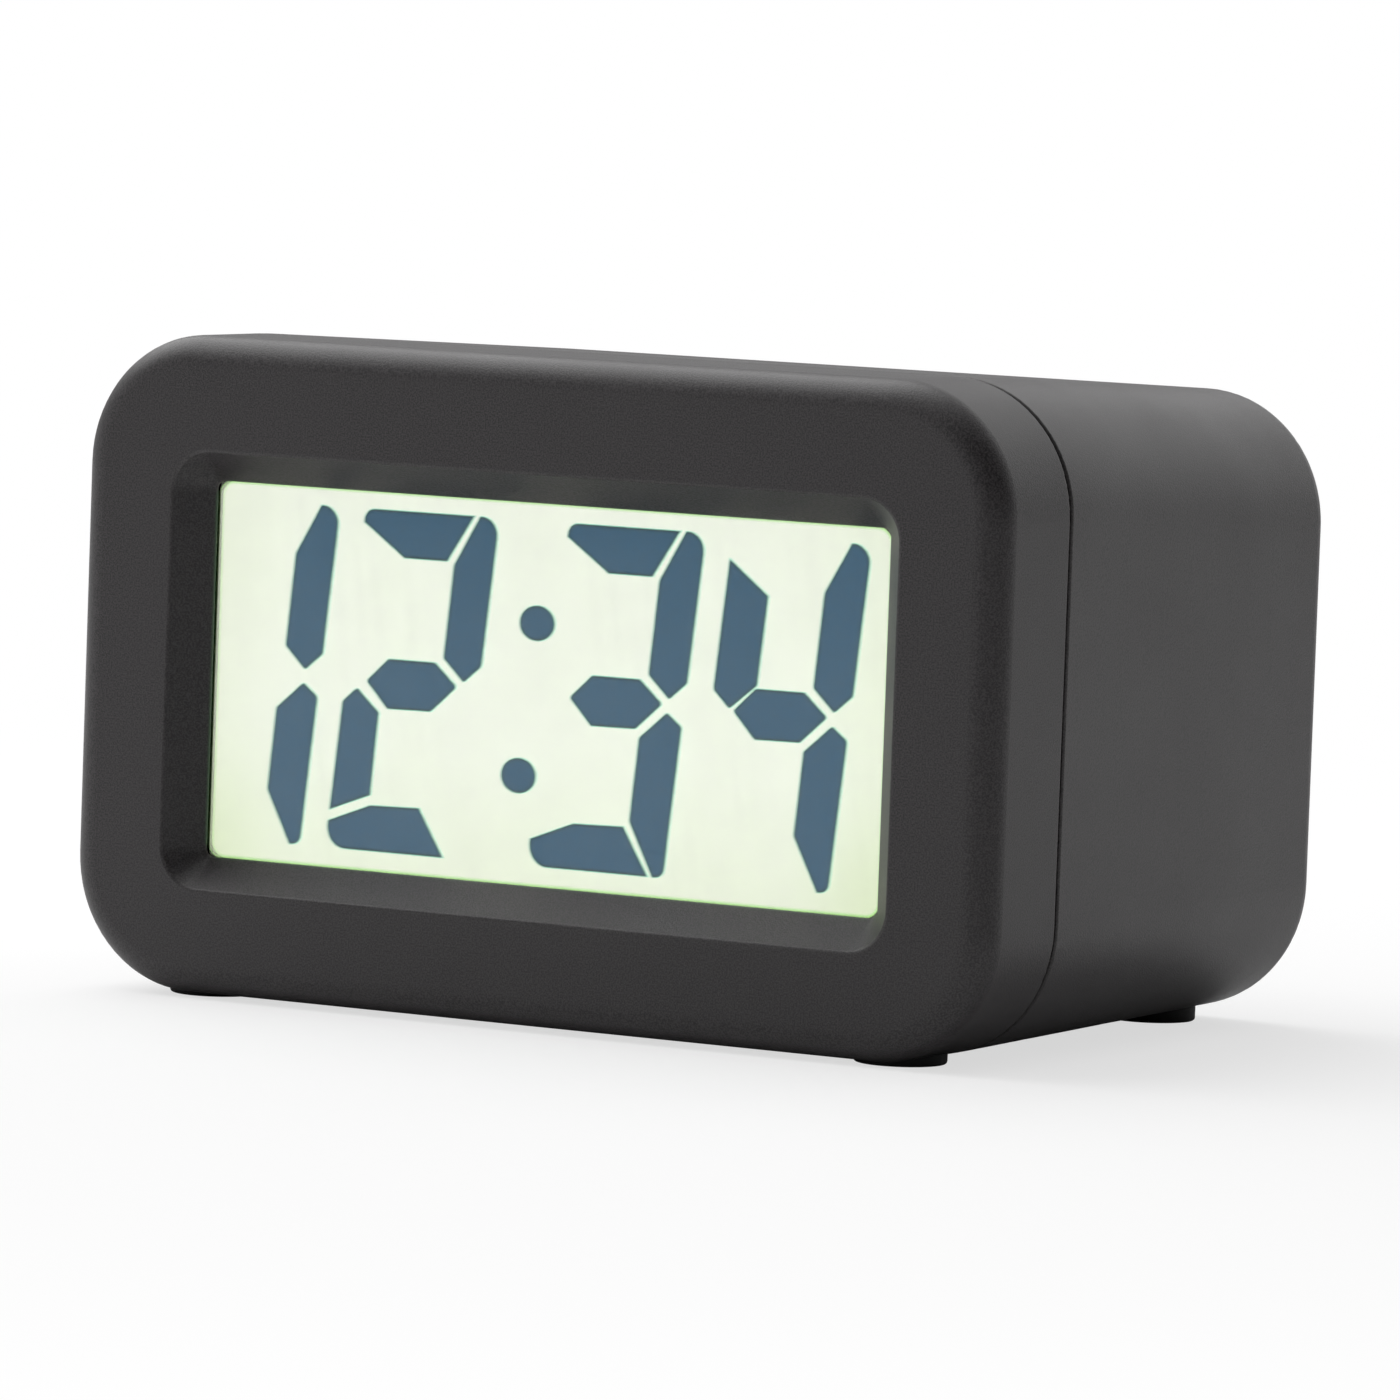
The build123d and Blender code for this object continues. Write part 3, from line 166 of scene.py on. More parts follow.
class HardwareSettings(bpy.types.PropertyGroup):
    """Boards, metal parts and fixings."""

    board_colour: FloatVectorProperty(name="Board colour", description="Colour of the boards' lacquer",
                                      subtype="COLOR", size=3, min=0.0, max=1.0,
                                      default=(0.012, 0.09, 0.035))
    metal_colour: FloatVectorProperty(name="Plating colour", description="Colour of screws and contacts",
                                      subtype="COLOR", size=3, min=0.0, max=1.0,
                                      default=(0.56, 0.56, 0.55))
    cell_colour: FloatVectorProperty(name="Cell jacket colour", description="Colour of the cells' jackets",
                                     subtype="COLOR", size=3, min=0.0, max=1.0,
                                     default=(0.02, 0.05, 0.12))
    thread_pitch: FloatProperty(name="Thread pitch", description="Advance of a screw's thread in one turn",
                                unit="LENGTH", min=0.0001, default=0.9 * mm)
    coil_turns: IntProperty(name="Spring turns", description="Turns of each battery spring", min=2,
                            default=4)
    wire_radius: FloatProperty(name="Spring wire radius", description="Radius of the springs' wire",
                               unit="LENGTH", min=0.00005, default=0.35 * mm)
    thread_depth: FloatProperty(name="Thread depth", description="Depth of a screw's thread",
                                unit="LENGTH", min=0.0, default=0.25 * mm)
    solder_height: FloatProperty(name="Solder height", description="Height of a solder joint",
                                 unit="LENGTH", min=0.0, default=0.7 * mm)


class StageSettings(bpy.types.PropertyGroup):
    """Floor and light."""

    floor_colour: FloatVectorProperty(name="Floor colour", description="Colour of floor and backdrop",
                                      subtype="COLOR", size=3, min=0.0, max=1.0, default=(0.9, 0.9, 0.9))
    sky_light: FloatProperty(name="Sky light", description="Strength of the even light from all round",
                             min=0.0, default=0.5)
    shade_light: FloatProperty(name="Shaded sky", description="Strength of the sky on the low front right",
                               min=0.0, default=0.04)
    soft_light: FloatProperty(name="Soft box", description="Power of the large lamp over the left side",
                              unit="POWER", min=0.0, default=10.0)
    front_light: FloatProperty(name="Front lamp", description="Power of the lamp high at the front left",
                               unit="POWER", min=0.0, default=0.8)
    back_light: FloatProperty(name="Back lamp", description="Power of the low lamp behind, which draws "
                              "the light line on the top edges", unit="POWER", min=0.0, default=1.6)


class Wire:
    """An output socket of a finish, from which sums can be written as expressions."""

    def __init__(self, finish, socket):
        self.finish = finish
        self.socket = socket

    def worked(self, operation, *terms):
        """The result of one Math node on these terms."""
        return self.finish.node("ShaderNodeMath", {"operation": operation}, dict(enumerate(terms)))

    def __add__(self, other):
        return self.worked("ADD", self, other)

    def __radd__(self, other):
        return self.worked("ADD", other, self)

    def __sub__(self, other):
        return self.worked("SUBTRACT", self, other)

    def __rsub__(self, other):
        return self.worked("SUBTRACT", other, self)

    def __mul__(self, other):
        return self.worked("MULTIPLY", self, other)

    def __rmul__(self, other):
        return self.worked("MULTIPLY", other, self)

    def __truediv__(self, other):
        return self.worked("DIVIDE", self, other)

    def __pow__(self, other):
        return self.worked("POWER", self, other)

    def __gt__(self, other):
        return self.worked("GREATER_THAN", self, other)

    def __abs__(self):
        return self.worked("ABSOLUTE", self)

    def at_least(self, other):
        """The greater of this and another."""
        return self.worked("MAXIMUM", self, other)


class Web:
    """A tree of nodes in the making, for a finish, for the sky or for pieces that repeat."""

    def __init__(self, tree):
        self.tree = tree
        self.tree.nodes.clear()

    def node(self, kind, settings=None, sockets=None, output=0):
        """A new node: its settings come first, then the values or links of its sockets."""
        made = self.tree.nodes.new(kind)
        for name, value in (settings or {}).items():
            setattr(made, name, value)
        for name, value in (sockets or {}).items():
            self.feed(made.inputs[name], value)
        return Wire(self, made.outputs[output])

    def feed(self, socket, value):
        """Links a wire to a socket, or sets the socket's own value."""
        if isinstance(value, Wire):
            self.tree.links.new(value.socket, socket)
        elif socket.type == "RGBA" and len(value) == 3:
            socket.default_value = (*value, 1.0)
        elif isinstance(value, (list, tuple)) and isinstance(value[0], Wire):
            for wire in value:
                self.tree.links.new(wire.socket, socket)
        else:
            socket.default_value = value

    def between(self, value, low, high):
        """0 where value is at low and 1 where it is at high, smooth between."""
        return self.node("ShaderNodeMapRange", {"interpolation_type": "SMOOTHSTEP"},
                         {0: value, 1: low, 2: high})

    def axes(self, place):
        """The three coordinates of a point."""
        split = self.node("ShaderNodeSeparateXYZ", sockets={0: place})
        return [Wire(self, socket) for socket in split.socket.node.outputs]


class Finish(Web):
    """A material in the making: its nodes and its principled shader."""

    def __init__(self, name, **constants):
        self.material = bpy.data.materials.new(name)
        self.material.use_nodes = True
        super().__init__(self.material.node_tree)
        self.shader = self.tree.nodes.new("ShaderNodeBsdfPrincipled")
        self.output = self.tree.nodes.new("ShaderNodeOutputMaterial")
        self.tree.links.new(self.shader.outputs[0], self.output.inputs[0])
        for socket, value in constants.items():
            self.set(socket.replace("_", " "), value)

    def set(self, socket, value):
        """Sets or links one socket of the principled shader."""
        self.feed(self.shader.inputs[socket], value)

    def place(self):
        """The point on the piece, in the part's frame."""
        return self.node("ShaderNodeTexCoord", output="Object")

    def noise(self, place, size, detail=2.0, stretch=None):
        """Noise from 0 to 1 whose patches are about this size, drawn out along an axis if stretched."""
        if stretch:
            place = self.node("ShaderNodeVectorMath", {"operation": "MULTIPLY"}, {0: place, 1: stretch})
        return self.node("ShaderNodeTexNoise", sockets={"Vector": place, "Scale": 1 / size, "Detail": detail})

    def grain(self, place, size):
        """Fine grain from 0 to 1 with full contrast."""
        return self.between(self.noise(place, size, detail=1.0), 0.32, 0.68)

    def spots(self, place, size):
        """The distance to the nearest of many scattered points, in cell widths."""
        return self.node("ShaderNodeTexVoronoi", sockets={"Vector": place, "Scale": 1 / size})

    def steps(self, value, half):
        """A zigzag that runs from 0 to half and back as value grows."""
        return self.node("ShaderNodeMath", {"operation": "PINGPONG"}, {0: value, 1: half})

    def mix(self, factor, one, other):
        """Two colours blended by a factor: the first at 0, the other at 1."""
        return self.node("ShaderNodeMix", {"data_type": "RGBA"}, {0: factor, 6: one, 7: other}, output=2)

    def scaled(self, colour, amount):
        """A colour made lighter or darker."""
        return self.node("ShaderNodeVectorMath", {"operation": "SCALE"}, {0: colour, "Scale": amount})

    def edges(self, reach):
        """1 on edges and 0 away from them, within this reach."""
        flat, bent = 0.995, 0.9
        rounded = self.node("ShaderNodeBevel", {"samples": 4}, {"Radius": reach})
        plain = self.node("ShaderNodeNewGeometry", output="Normal")
        turned = self.node("ShaderNodeVectorMath", {"operation": "DOT_PRODUCT"}, {0: rounded, 1: plain},
                           output="Value")
        return self.between(turned, flat, bent)

    def relief(self, height, distance):
        """Gives the surface a relief: height is its pattern, and distance what 1 stands for."""
        self.set("Normal", self.node("ShaderNodeBump", sockets={"Height": height, "Distance": distance,
                                                                "Strength": 1.0}))

    def attribute(self, name):
        """A value stored on the piece's own mesh."""
        return self.node("ShaderNodeAttribute", {"attribute_name": name}, output="Fac")


class Growth(Web):
    """A tree of geometry nodes in the making, with named inputs, for pieces that repeat."""

    def __init__(self, name):
        super().__init__(bpy.data.node_groups.new(name, "GeometryNodeTree"))
        self.values = {}
        self.tree.interface.new_socket("Geometry", in_out="INPUT", socket_type="NodeSocketGeometry")
        self.tree.interface.new_socket("Geometry", in_out="OUTPUT", socket_type="NodeSocketGeometry")
        self.entry = self.tree.nodes.new("NodeGroupInput")
        self.end = self.tree.nodes.new("NodeGroupOutput")
        self.points = Wire(self, self.entry.outputs["Geometry"])

    def given(self, name, kind, value):
        """A named input of the tree and the value that it has here."""
        socket = self.tree.interface.new_socket(name, in_out="INPUT", socket_type="NodeSocket" + kind)
        self.values[socket.identifier] = value
        return Wire(self, self.entry.outputs[name])

    def turned_by(self):
        """The turn stored at each place."""
        stored = self.node("GeometryNodeInputNamedAttribute", {"data_type": "FLOAT_VECTOR"},
                           {"Name": "turn"}, output="Attribute")
        return self.node("FunctionNodeEulerToRotation", sockets={0: stored})

    def repeated(self, shape):
        """The shape at every place, turned as each place says."""
        return self.node("GeometryNodeInstanceOnPoints",
                         sockets={"Points": self.points, "Instance": shape, "Rotation": self.turned_by()})

    def moved(self, shape, by):
        """The shape moved along."""
        return self.node("GeometryNodeTransform", sockets={"Geometry": shape, "Translation": by})

    def joined(self, *shapes):
        """Several shapes as one."""
        return self.node("GeometryNodeJoinGeometry", sockets={0: shapes})

    def mesh(self, shape, places, material):
        """The tree's result as a plain mesh: the shape at each place with its turn."""
        real = self.node("GeometryNodeRealizeInstances", sockets={0: shape})
        finish = self.given("Material", "Material", material)
        done = self.node("GeometryNodeSetMaterial", sockets={"Geometry": real, "Material": finish})
        self.tree.links.new(done.socket, self.end.inputs[0])
        points = bpy.data.meshes.new("places")
        points.from_pydata([place for place, _ in places], [], [])
        turns = points.attributes.new("turn", "FLOAT_VECTOR", "POINT")
        turns.data.foreach_set("vector", [angle for _, turn in places for angle in turn])
        carrier = bpy.data.objects.new("carrier", points)
        bpy.context.scene.collection.objects.link(carrier)
        modifier = carrier.modifiers.new("growth", "NODES")
        modifier.node_group = self.tree
        for identifier, value in self.values.items():
            modifier[identifier] = value
        evaluated = carrier.evaluated_get(bpy.context.evaluated_depsgraph_get())
        made = bpy.data.meshes.new_from_object(evaluated)
        bpy.data.objects.remove(carrier)
        smoothed(made)
        if not made.polygons:
            raise RuntimeError("The tree gave no faces: " + self.tree.name)
        return made


def smoothed(mesh):
    """Smooth faces with sharp edges where they meet at a clear angle."""
    mesh.shade_smooth()
    mesh.set_sharp_from_angle(angle=math.radians(35))


def turned_mesh(name, profiles, segments=72):
    """Shapes turned on a lathe, each given by its middle, its Euler turn and rows of reach and radius."""
    shape = bmesh.new()
    for middle, turn, profile in profiles:
        turning = Euler(turn).to_matrix()
        rings = []
        for reach, radius in profile:
            count = segments if radius > 0 else 1
            ring = []
            for step in range(count):
                angle = 2 * math.pi * step / count
                point = Vector((radius * math.cos(angle), radius * math.sin(angle), reach))
                ring.append(shape.verts.new(Vector(middle) + turning @ point))
            rings.append(ring)
        for near, far in zip(rings, rings[1:]):
            for step in range(segments):
                ahead = (step + 1) % segments
                corners = [near[step % len(near)], near[ahead % len(near)], far[ahead % len(far)],
                           far[step % len(far)]]
                shape.faces.new(list(dict.fromkeys(corners)))
    bmesh.ops.recalc_face_normals(shape, faces=shape.faces)
    mesh = bpy.data.meshes.new(name)
    shape.to_mesh(mesh)
    shape.free()
    smoothed(mesh)
    return mesh


def merged(node):
    """A copy of a CAD node's mesh whose loose triangles are joined."""
    shape = bmesh.new()
    shape.from_mesh(nodes[node].data)
    bmesh.ops.remove_doubles(shape, verts=shape.verts, dist=0.002 * mm)
    return shape


def middles(node):
    """The middle and the size of the box round each separate body of a node."""
    least = 0.3 * mm
    shape = merged(node)
    shape.verts.ensure_lookup_table()
    seen = set()
    found = []
    for start in shape.verts:
        if start in seen:
            continue
        seen.add(start)
        group, waiting = [], [start]
        while waiting:
            vertex = waiting.pop()
            group.append(vertex.co)
            for edge in vertex.link_edges:
                other = edge.other_vert(vertex)
                if other not in seen:
                    seen.add(other)
                    waiting.append(other)
        low = Vector([min(point[axis] for point in group) for axis in range(3)])
        high = Vector([max(point[axis] for point in group) for axis in range(3)])
        if (high - low).length > least:
            found.append(((low + high) / 2, high - low))
    shape.free()
    return found


def moulded_finish(name, colour, roughness, grain, depth, worn=None, reach=0.3 * mm, speckle=0.12):
    """A moulded or coated surface: grain, faint mottling, a few light specks, and edges lightened partly by
    wear and partly by a painted highlight.

    grain and depth are the width and height of its grain, the edge colour given is the colour of its edges,
    and reach is how far the wear and the painted highlight spread from them."""
    mottle_size, speck_spacing = 14 * mm, 2.6 * mm
    finish = Finish(name)
    place = finish.place()
    fine = finish.grain(place, grain)
    broad = finish.noise(place, mottle_size)
    specks = 1 - finish.between(finish.spots(place, speck_spacing), 0.02, 0.045)
    shade = 1 + (fine - 0.5) * speckle * 2 + (broad - 0.5) * 0.2 + specks * 0.5
    edge = finish.edges(reach)
    # Painted highlight: edges and lips are lightened towards the given edge colour, partly for wear and
    # partly for the light line they catch.
    rubbed_and_highlit = edge * (0.5 + broad * 0.5)
    finish.set("Base Color", finish.mix(rubbed_and_highlit, finish.scaled(colour, shade), worn or colour))
    finish.set("Roughness", roughness + (broad - 0.5) * 0.1 + (fine - 0.5) * 0.08 - rubbed_and_highlit * 0.12)
    finish.relief(fine, depth)
    return finish


def moulded(*values, **choices):
    """The material of a moulded or coated surface."""
    return moulded_finish(*values, **choices).material


def beyond_window(finish, place):
    """How far a point lies outside the rounded outline of the lit view, or below zero within it."""
    settings = bpy.context.scene.clock_display
    x, _, z = finish.axes(place)
    middle = box_middle("display_window")
    across = abs(x - middle.x) - (settings.view_width / 2 - settings.corner)
    up = abs(z - middle.z) - (settings.view_height / 2 - settings.corner)
    far = (across.at_least(0) ** 2 + up.at_least(0) ** 2) ** 0.5
    return far - (0 - across.at_least(up)).at_least(0) - settings.corner


def plated(name, colour, roughness, size, stretch, tarnish=0.15):
    """Bare or plated metal, drawn or brushed along one way, dull in patches."""
    finish = Finish(name, Metallic=1.0)
    place = finish.place()
    lines = finish.noise(place, size, detail=4.0, stretch=stretch)
    patches = finish.noise(place, 3 * mm)
    finish.set("Base Color", finish.scaled(colour, 1 + (lines - 0.5) * 0.25 - patches * tarnish))
    finish.set("Roughness", roughness + (lines - 0.5) * 0.2 + patches * tarnish)
    finish.relief(lines, 0.01 * mm)
    return finish.material


def clear_sheet(name, tint, alpha):
    """A clear film or glass bonded into the display, which shows only as a faint tint."""
    finish = Finish(name, IOR=1.5)
    place = finish.place()
    haze = finish.noise(place, 6 * mm)
    finish.set("Base Color", finish.scaled(tint, 0.95 + haze * 0.1))
    finish.set("Alpha", alpha * (0.7 + haze * 0.6))
    finish.set("Roughness", 0.08 + haze * 0.05)
    return finish.material


def use(node, material):
    """Gives a CAD node its finish."""
    mesh = nodes[node].data
    mesh.materials.clear()
    mesh.materials.append(material)


def shown_piece(name, mesh, material, node, *others):
    """A piece that rides where a CAD node does and stands for it and for any others."""
    mesh.materials.clear()
    mesh.materials.append(material)
    item = bpy.data.objects.new(name, mesh)
    bpy.context.scene.collection.objects.link(item)
    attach(item, body_of[node])
    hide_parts(node, *others)
    return item


def pane_acrylic(settings):
    """The clear pane: green leak of the backlight at its border, and dark print beyond the lit view."""
    finish = Finish("pane_acrylic", IOR=1.49, Transmission_Weight=1.0)
    place = finish.place()
    haze = finish.noise(place, 9 * mm)
    clear = finish.scaled((0.99, 1.0, 0.98), 0.99 + haze * 0.01)
    beyond = beyond_window(finish, place)
    # Painted light: a green band on the pane at the lit view's border stands for the backlight leaking there.
    leak = finish.between(beyond, -settings.rim_width, 0.05 * mm)
    printed = finish.between(beyond, 0.0, 0.12 * mm)
    tinted = finish.mix(leak, clear, settings.rim_colour)
    finish.set("Base Color", finish.mix(printed, tinted, (0.012, 0.014, 0.012)))
    finish.set("Roughness", 0.015 + haze * 0.02)
    return finish.material


def lit_sheet(settings):
    """The diffuser, lit from behind: near white, dimmer and greener at its sides and its low edge."""
    finish = Finish("lit_diffuser", Roughness=0.6, Emission_Strength=settings.brightness)
    place = finish.place()
    x, _, z = finish.axes(place)
    middle = box_middle("display_window")
    across = (x - middle.x) / (settings.view_width / 2)
    up = (z - middle.z) / (settings.view_height / 2)
    sides = finish.between(abs(across + 0.05), 0.7, 1.05)
    low = finish.between(up, -0.2, -1.05)
    cloud = finish.noise(place, 16 * mm)
    dim = sides * (0.3 + low * 0.4) + low * 0.35 + (cloud - 0.5) * 0.16
    finish.set("Base Color", finish.scaled((0.34, 0.36, 0.31), 0.95 + cloud * 0.1))
    finish.set("Emission Color", finish.mix(dim, settings.ground_colour, settings.edge_colour))
    return finish.material


def segment_ink(settings):
    """Dark segments with a darker edge and a pale fringe, from the value on their mesh.

    Nearly all of their tone is light that comes through from behind, so it is given off, and little
    of it is reflected."""
    finish = Finish("segment_ink", Roughness=0.5)
    place = finish.place()
    fine = finish.grain(place, 0.26 * mm)
    shade = 0.8 + fine * 0.4
    reach = finish.attribute("edge_share")
    # Painted shade and light: a darker band just inside each segment's border, and a pale glowing fringe just
    # outside it.
    inner = finish.mix(finish.between(reach, 0.0, 0.5), settings.segment_colour,
                       settings.segment_edge_colour)
    outer = finish.mix(finish.between(reach, 0.55, 1.0), inner, settings.fringe_colour)
    tone = finish.scaled(outer, shade)
    finish.set("Base Color", finish.scaled(tone, 0.15))
    finish.set("Emission Color", tone)
    finish.set("Emission Strength", 1.0)
    return finish.material


class ClockStep:
    """What the panel's steps have in common."""

    bl_options = {"REGISTER", "UNDO"}


class CLOCK_OT_case(ClockStep, bpy.types.Operator):
    """Finish the bezel, the rear shell and the battery door"""

    bl_idname = "clock.case"
    bl_label = "Case"

    def execute(self, context):
        case = context.scene.clock_case
        for node in ("front_bezel", "rear_shell", "battery_door"):
            coat = moulded_finish(node + "_coat", case.colour, case.roughness, case.grain_size,
                                  case.grain_depth, worn=case.worn_colour, reach=case.wear_and_highlight_reach,
                                  speckle=case.speckle)
            if node == "front_bezel":
                place = coat.place()
                _, y, _ = coat.axes(place)
                # Painted glow: the recess's foot gives off green light of its own, standing for light the
                # backlight throws on it.
                near = 1 - coat.between(beyond_window(coat, place), 0.0, case.leak_width)
                coat.set("Emission Color", coat.scaled(case.leak_colour, near * (y > leak_front())))
                coat.set("Emission Strength", 1.0)
            use(node, coat.material)
        return {"FINISHED"}


def leak_front():
    """The depth from which on the recess catches the backlight: just before the pane."""
    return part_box("display_window")[0].y - 1.2 * mm


class CLOCK_OT_keys(ClockStep, bpy.types.Operator):
    """Finish the rear keys, the alarm slide and the snooze bar"""

    bl_idname = "clock.keys"
    bl_label = "Keys, slide and bar"

    def execute(self, context):
        case = context.scene.clock_case
        # The keys' edges get the same lighter edge colour: partly wear, partly painted highlight.
        satin = moulded("key_plastic", colour=case.key_colour, roughness=0.42, grain=case.grain_size,
                        depth=0.012 * mm, worn=case.worn_colour, reach=0.4 * mm, speckle=0.06)
        for node in ("time_key", "alarm_key", "hour_key", "minute_key", "alarm_slide_knob", "snooze_bar"):
            use(node, satin)
        return {"FINISHED"}


class CLOCK_OT_pane(ClockStep, bpy.types.Operator):
    """Finish the clear pane and its tape"""

    bl_idname = "clock.pane"
    bl_label = "Pane"

    def execute(self, context):
        use("display_window", pane_acrylic(context.scene.clock_display))
        use("window_tape", moulded("foam_tape", colour=(0.012, 0.012, 0.012), roughness=0.85,
                                   grain=0.12 * mm, depth=0.02 * mm))
        return {"FINISHED"}


class CLOCK_OT_glasses(ClockStep, bpy.types.Operator):
    """Finish the display's glasses, polarisers and edge seal"""

    bl_idname = "clock.glasses"
    bl_label = "Display glasses"

    def execute(self, context):
        glass = clear_sheet("display_glass", tint=(0.9, 1.0, 0.93), alpha=0.015)
        film = clear_sheet("polariser_film", tint=(0.55, 0.62, 0.5), alpha=0.03)
        for node in ("front_glass", "rear_glass"):
            use(node, glass)
        for node in ("front_polariser", "rear_polariser"):
            use(node, film)
        use("lcd_edge_seal", moulded("seal_resin", colour=(0.55, 0.56, 0.42), roughness=0.35,
                                     grain=0.2 * mm, depth=0.005 * mm))
        return {"FINISHED"}


class CLOCK_OT_segments(ClockStep, bpy.types.Operator):
    """Build the dark segments with their edges and fringe"""

    bl_idname = "clock.segments"
    bl_label = "Segments"

    def execute(self, context):
        settings = context.scene.clock_display
        mesh = fringed_segments(settings.fringe_width, settings.edge_width)
        shown_piece("lit_segments", mesh, segment_ink(settings), "lcd_digits")
        return {"FINISHED"}


def fringed_segments(fringe, edge):
    """The segments with rings for their painted fringe of light and their painted darker edge; edge_share is
    1 outside and 0 within.
    """
    source = merged("lcd_digits")
    front = min(vertex.co.y for vertex in source.verts)
    back = max(vertex.co.y for vertex in source.verts)
    others = [face for face in source.faces
              if not all(abs(vertex.co.y - front) < 0.01 * mm for vertex in face.verts)]
    bmesh.ops.delete(source, geom=others, context="FACES")
    bmesh.ops.dissolve_limit(source, angle_limit=0.01, verts=source.verts, edges=source.edges)
    outlines = [thinned([vertex.co.copy() for vertex in face.verts], 0.05 * mm) for face in source.faces]
    source.free()
    made = bmesh.new()
    share = made.verts.layers.float.new("edge_share")
    for outline in outlines:
        rings = []
        for reach, value, y in ((fringe, 1.0, back), (fringe, 1.0, front), (0.0, 0.5, front),
                                (-edge, 0.0, front)):
            ring = []
            for corner in offset_outline(outline, reach):
                vertex = made.verts.new((corner.x, y, corner.z))
                vertex[share] = value
                ring.append(vertex)
            rings.append(ring)
        count = len(outline)
        for near, far in zip(rings, rings[1:]):
            for step in range(count):
                ahead = (step + 1) % count
                made.faces.new((near[step], near[ahead], far[ahead], far[step]))
        made.faces.new(rings[-1])
        made.faces.new(rings[0][::-1])
    bmesh.ops.recalc_face_normals(made, faces=made.faces)
    mesh = bpy.data.meshes.new("lit_segments")
    made.to_mesh(mesh)
    made.free()
    return mesh


def thinned(corners, least):
    """The outline's corners without those that lie closer than least to the one before."""
    kept = []
    for corner in corners:
        if not kept or (corner - kept[-1]).length > least:
            kept.append(corner)
    if (kept[0] - kept[-1]).length <= least:
        kept.pop()
    return kept


def offset_outline(corners, reach):
    """The outline moved out by reach, or in where reach is below zero, with mitred corners."""
    least_cosine = 0.35
    turned = sum(a.x * b.z - b.x * a.z for a, b in zip(corners, corners[1:] + corners[:1]))
    side = math.copysign(1, turned)
    moved = []
    for before, here, after in zip(corners[-1:] + corners, corners, corners[1:] + corners[:1]):
        arriving = (here - before).normalized()
        leaving = (after - here).normalized()
        outward = Vector((arriving.z + leaving.z, 0, -arriving.x - leaving.x)).normalized() * side
        first = Vector((arriving.z, 0, -arriving.x)) * side
        moved.append(here + outward * reach / max(least_cosine, outward.dot(first)))
    return moved


class CLOCK_OT_backlight(ClockStep, bpy.types.Operator):
    """Finish the diffuser, light guide, reflector and the board of LEDs"""

    bl_idname = "clock.backlight"
    bl_label = "Backlight"

    def execute(self, context):
        use("diffuser_sheet", lit_sheet(context.scene.clock_display))
        use("light_guide", moulded("guide_acrylic", colour=(0.75, 0.9, 0.5), roughness=0.15,
                                   grain=0.6 * mm, depth=0.004 * mm))
        use("reflector_sheet", moulded("white_film", colour=(0.85, 0.85, 0.82), roughness=0.4,
                                       grain=0.2 * mm, depth=0.003 * mm))
        use("backlight_leds", moulded("led_resin", colour=(0.65, 0.85, 0.12), roughness=0.2,
                                      grain=0.1 * mm, depth=0.002 * mm))
        use("backlight_board", board_lacquer("led_board_lacquer", context.scene.clock_hardware))
        use("backlight_pins", plated("tinned_pins", colour=(0.7, 0.68, 0.62), roughness=0.3,
                                     size=0.2 * mm, stretch=(1, 0.1, 1)))
        return {"FINISHED"}


def board_lacquer(name, settings):
    """Green solder lacquer over tracks that stand out a little."""
    track_spacing = 3.2 * mm
    finish = Finish(name, Coat_Weight=0.3, Coat_Roughness=0.15)
    place = finish.place()
    cells = finish.node("ShaderNodeTexVoronoi", {"distance": "CHEBYCHEV", "feature": "F1"},
                        {"Vector": place, "Scale": 1 / track_spacing, "Randomness": 0.6})
    tracks = finish.between(finish.steps(cells, 0.14), 0.05, 0.08)
    weave = finish.noise(place, 0.25 * mm)
    lacquer = finish.scaled(settings.board_colour, 1 + (weave - 0.5) * 0.3)
    over_copper = finish.scaled(settings.board_colour, 1.9)
    finish.set("Base Color", finish.mix(tracks, lacquer, over_copper))
    finish.set("Roughness", 0.32 + weave * 0.12)
    finish.relief(tracks + weave * 0.2, 0.03 * mm)
    return finish.material


class CLOCK_OT_display_frame(ClockStep, bpy.types.Operator):
    """Finish the display frame and the conductive strips"""

    bl_idname = "clock.display_frame"
    bl_label = "Display frame"

    def execute(self, context):
        use("display_frame", moulded("frame_plastic", colour=(0.68, 0.68, 0.64), roughness=0.5,
                                     grain=0.3 * mm, depth=0.01 * mm))
        finish = Finish("striped_rubber", Roughness=0.7)
        place = finish.place()
        x, _, _ = finish.axes(place)
        dark = finish.between(finish.steps(x, 0.1 * mm), 0.04 * mm, 0.06 * mm)
        fine = finish.noise(place, 0.1 * mm)
        colour = finish.mix(dark, (0.5, 0.42, 0.42), (0.02, 0.02, 0.02))
        finish.set("Base Color", finish.scaled(colour, 0.9 + fine * 0.2))
        finish.relief(fine, 0.004 * mm)
        use("conductive_strips", finish.material)
        return {"FINISHED"}


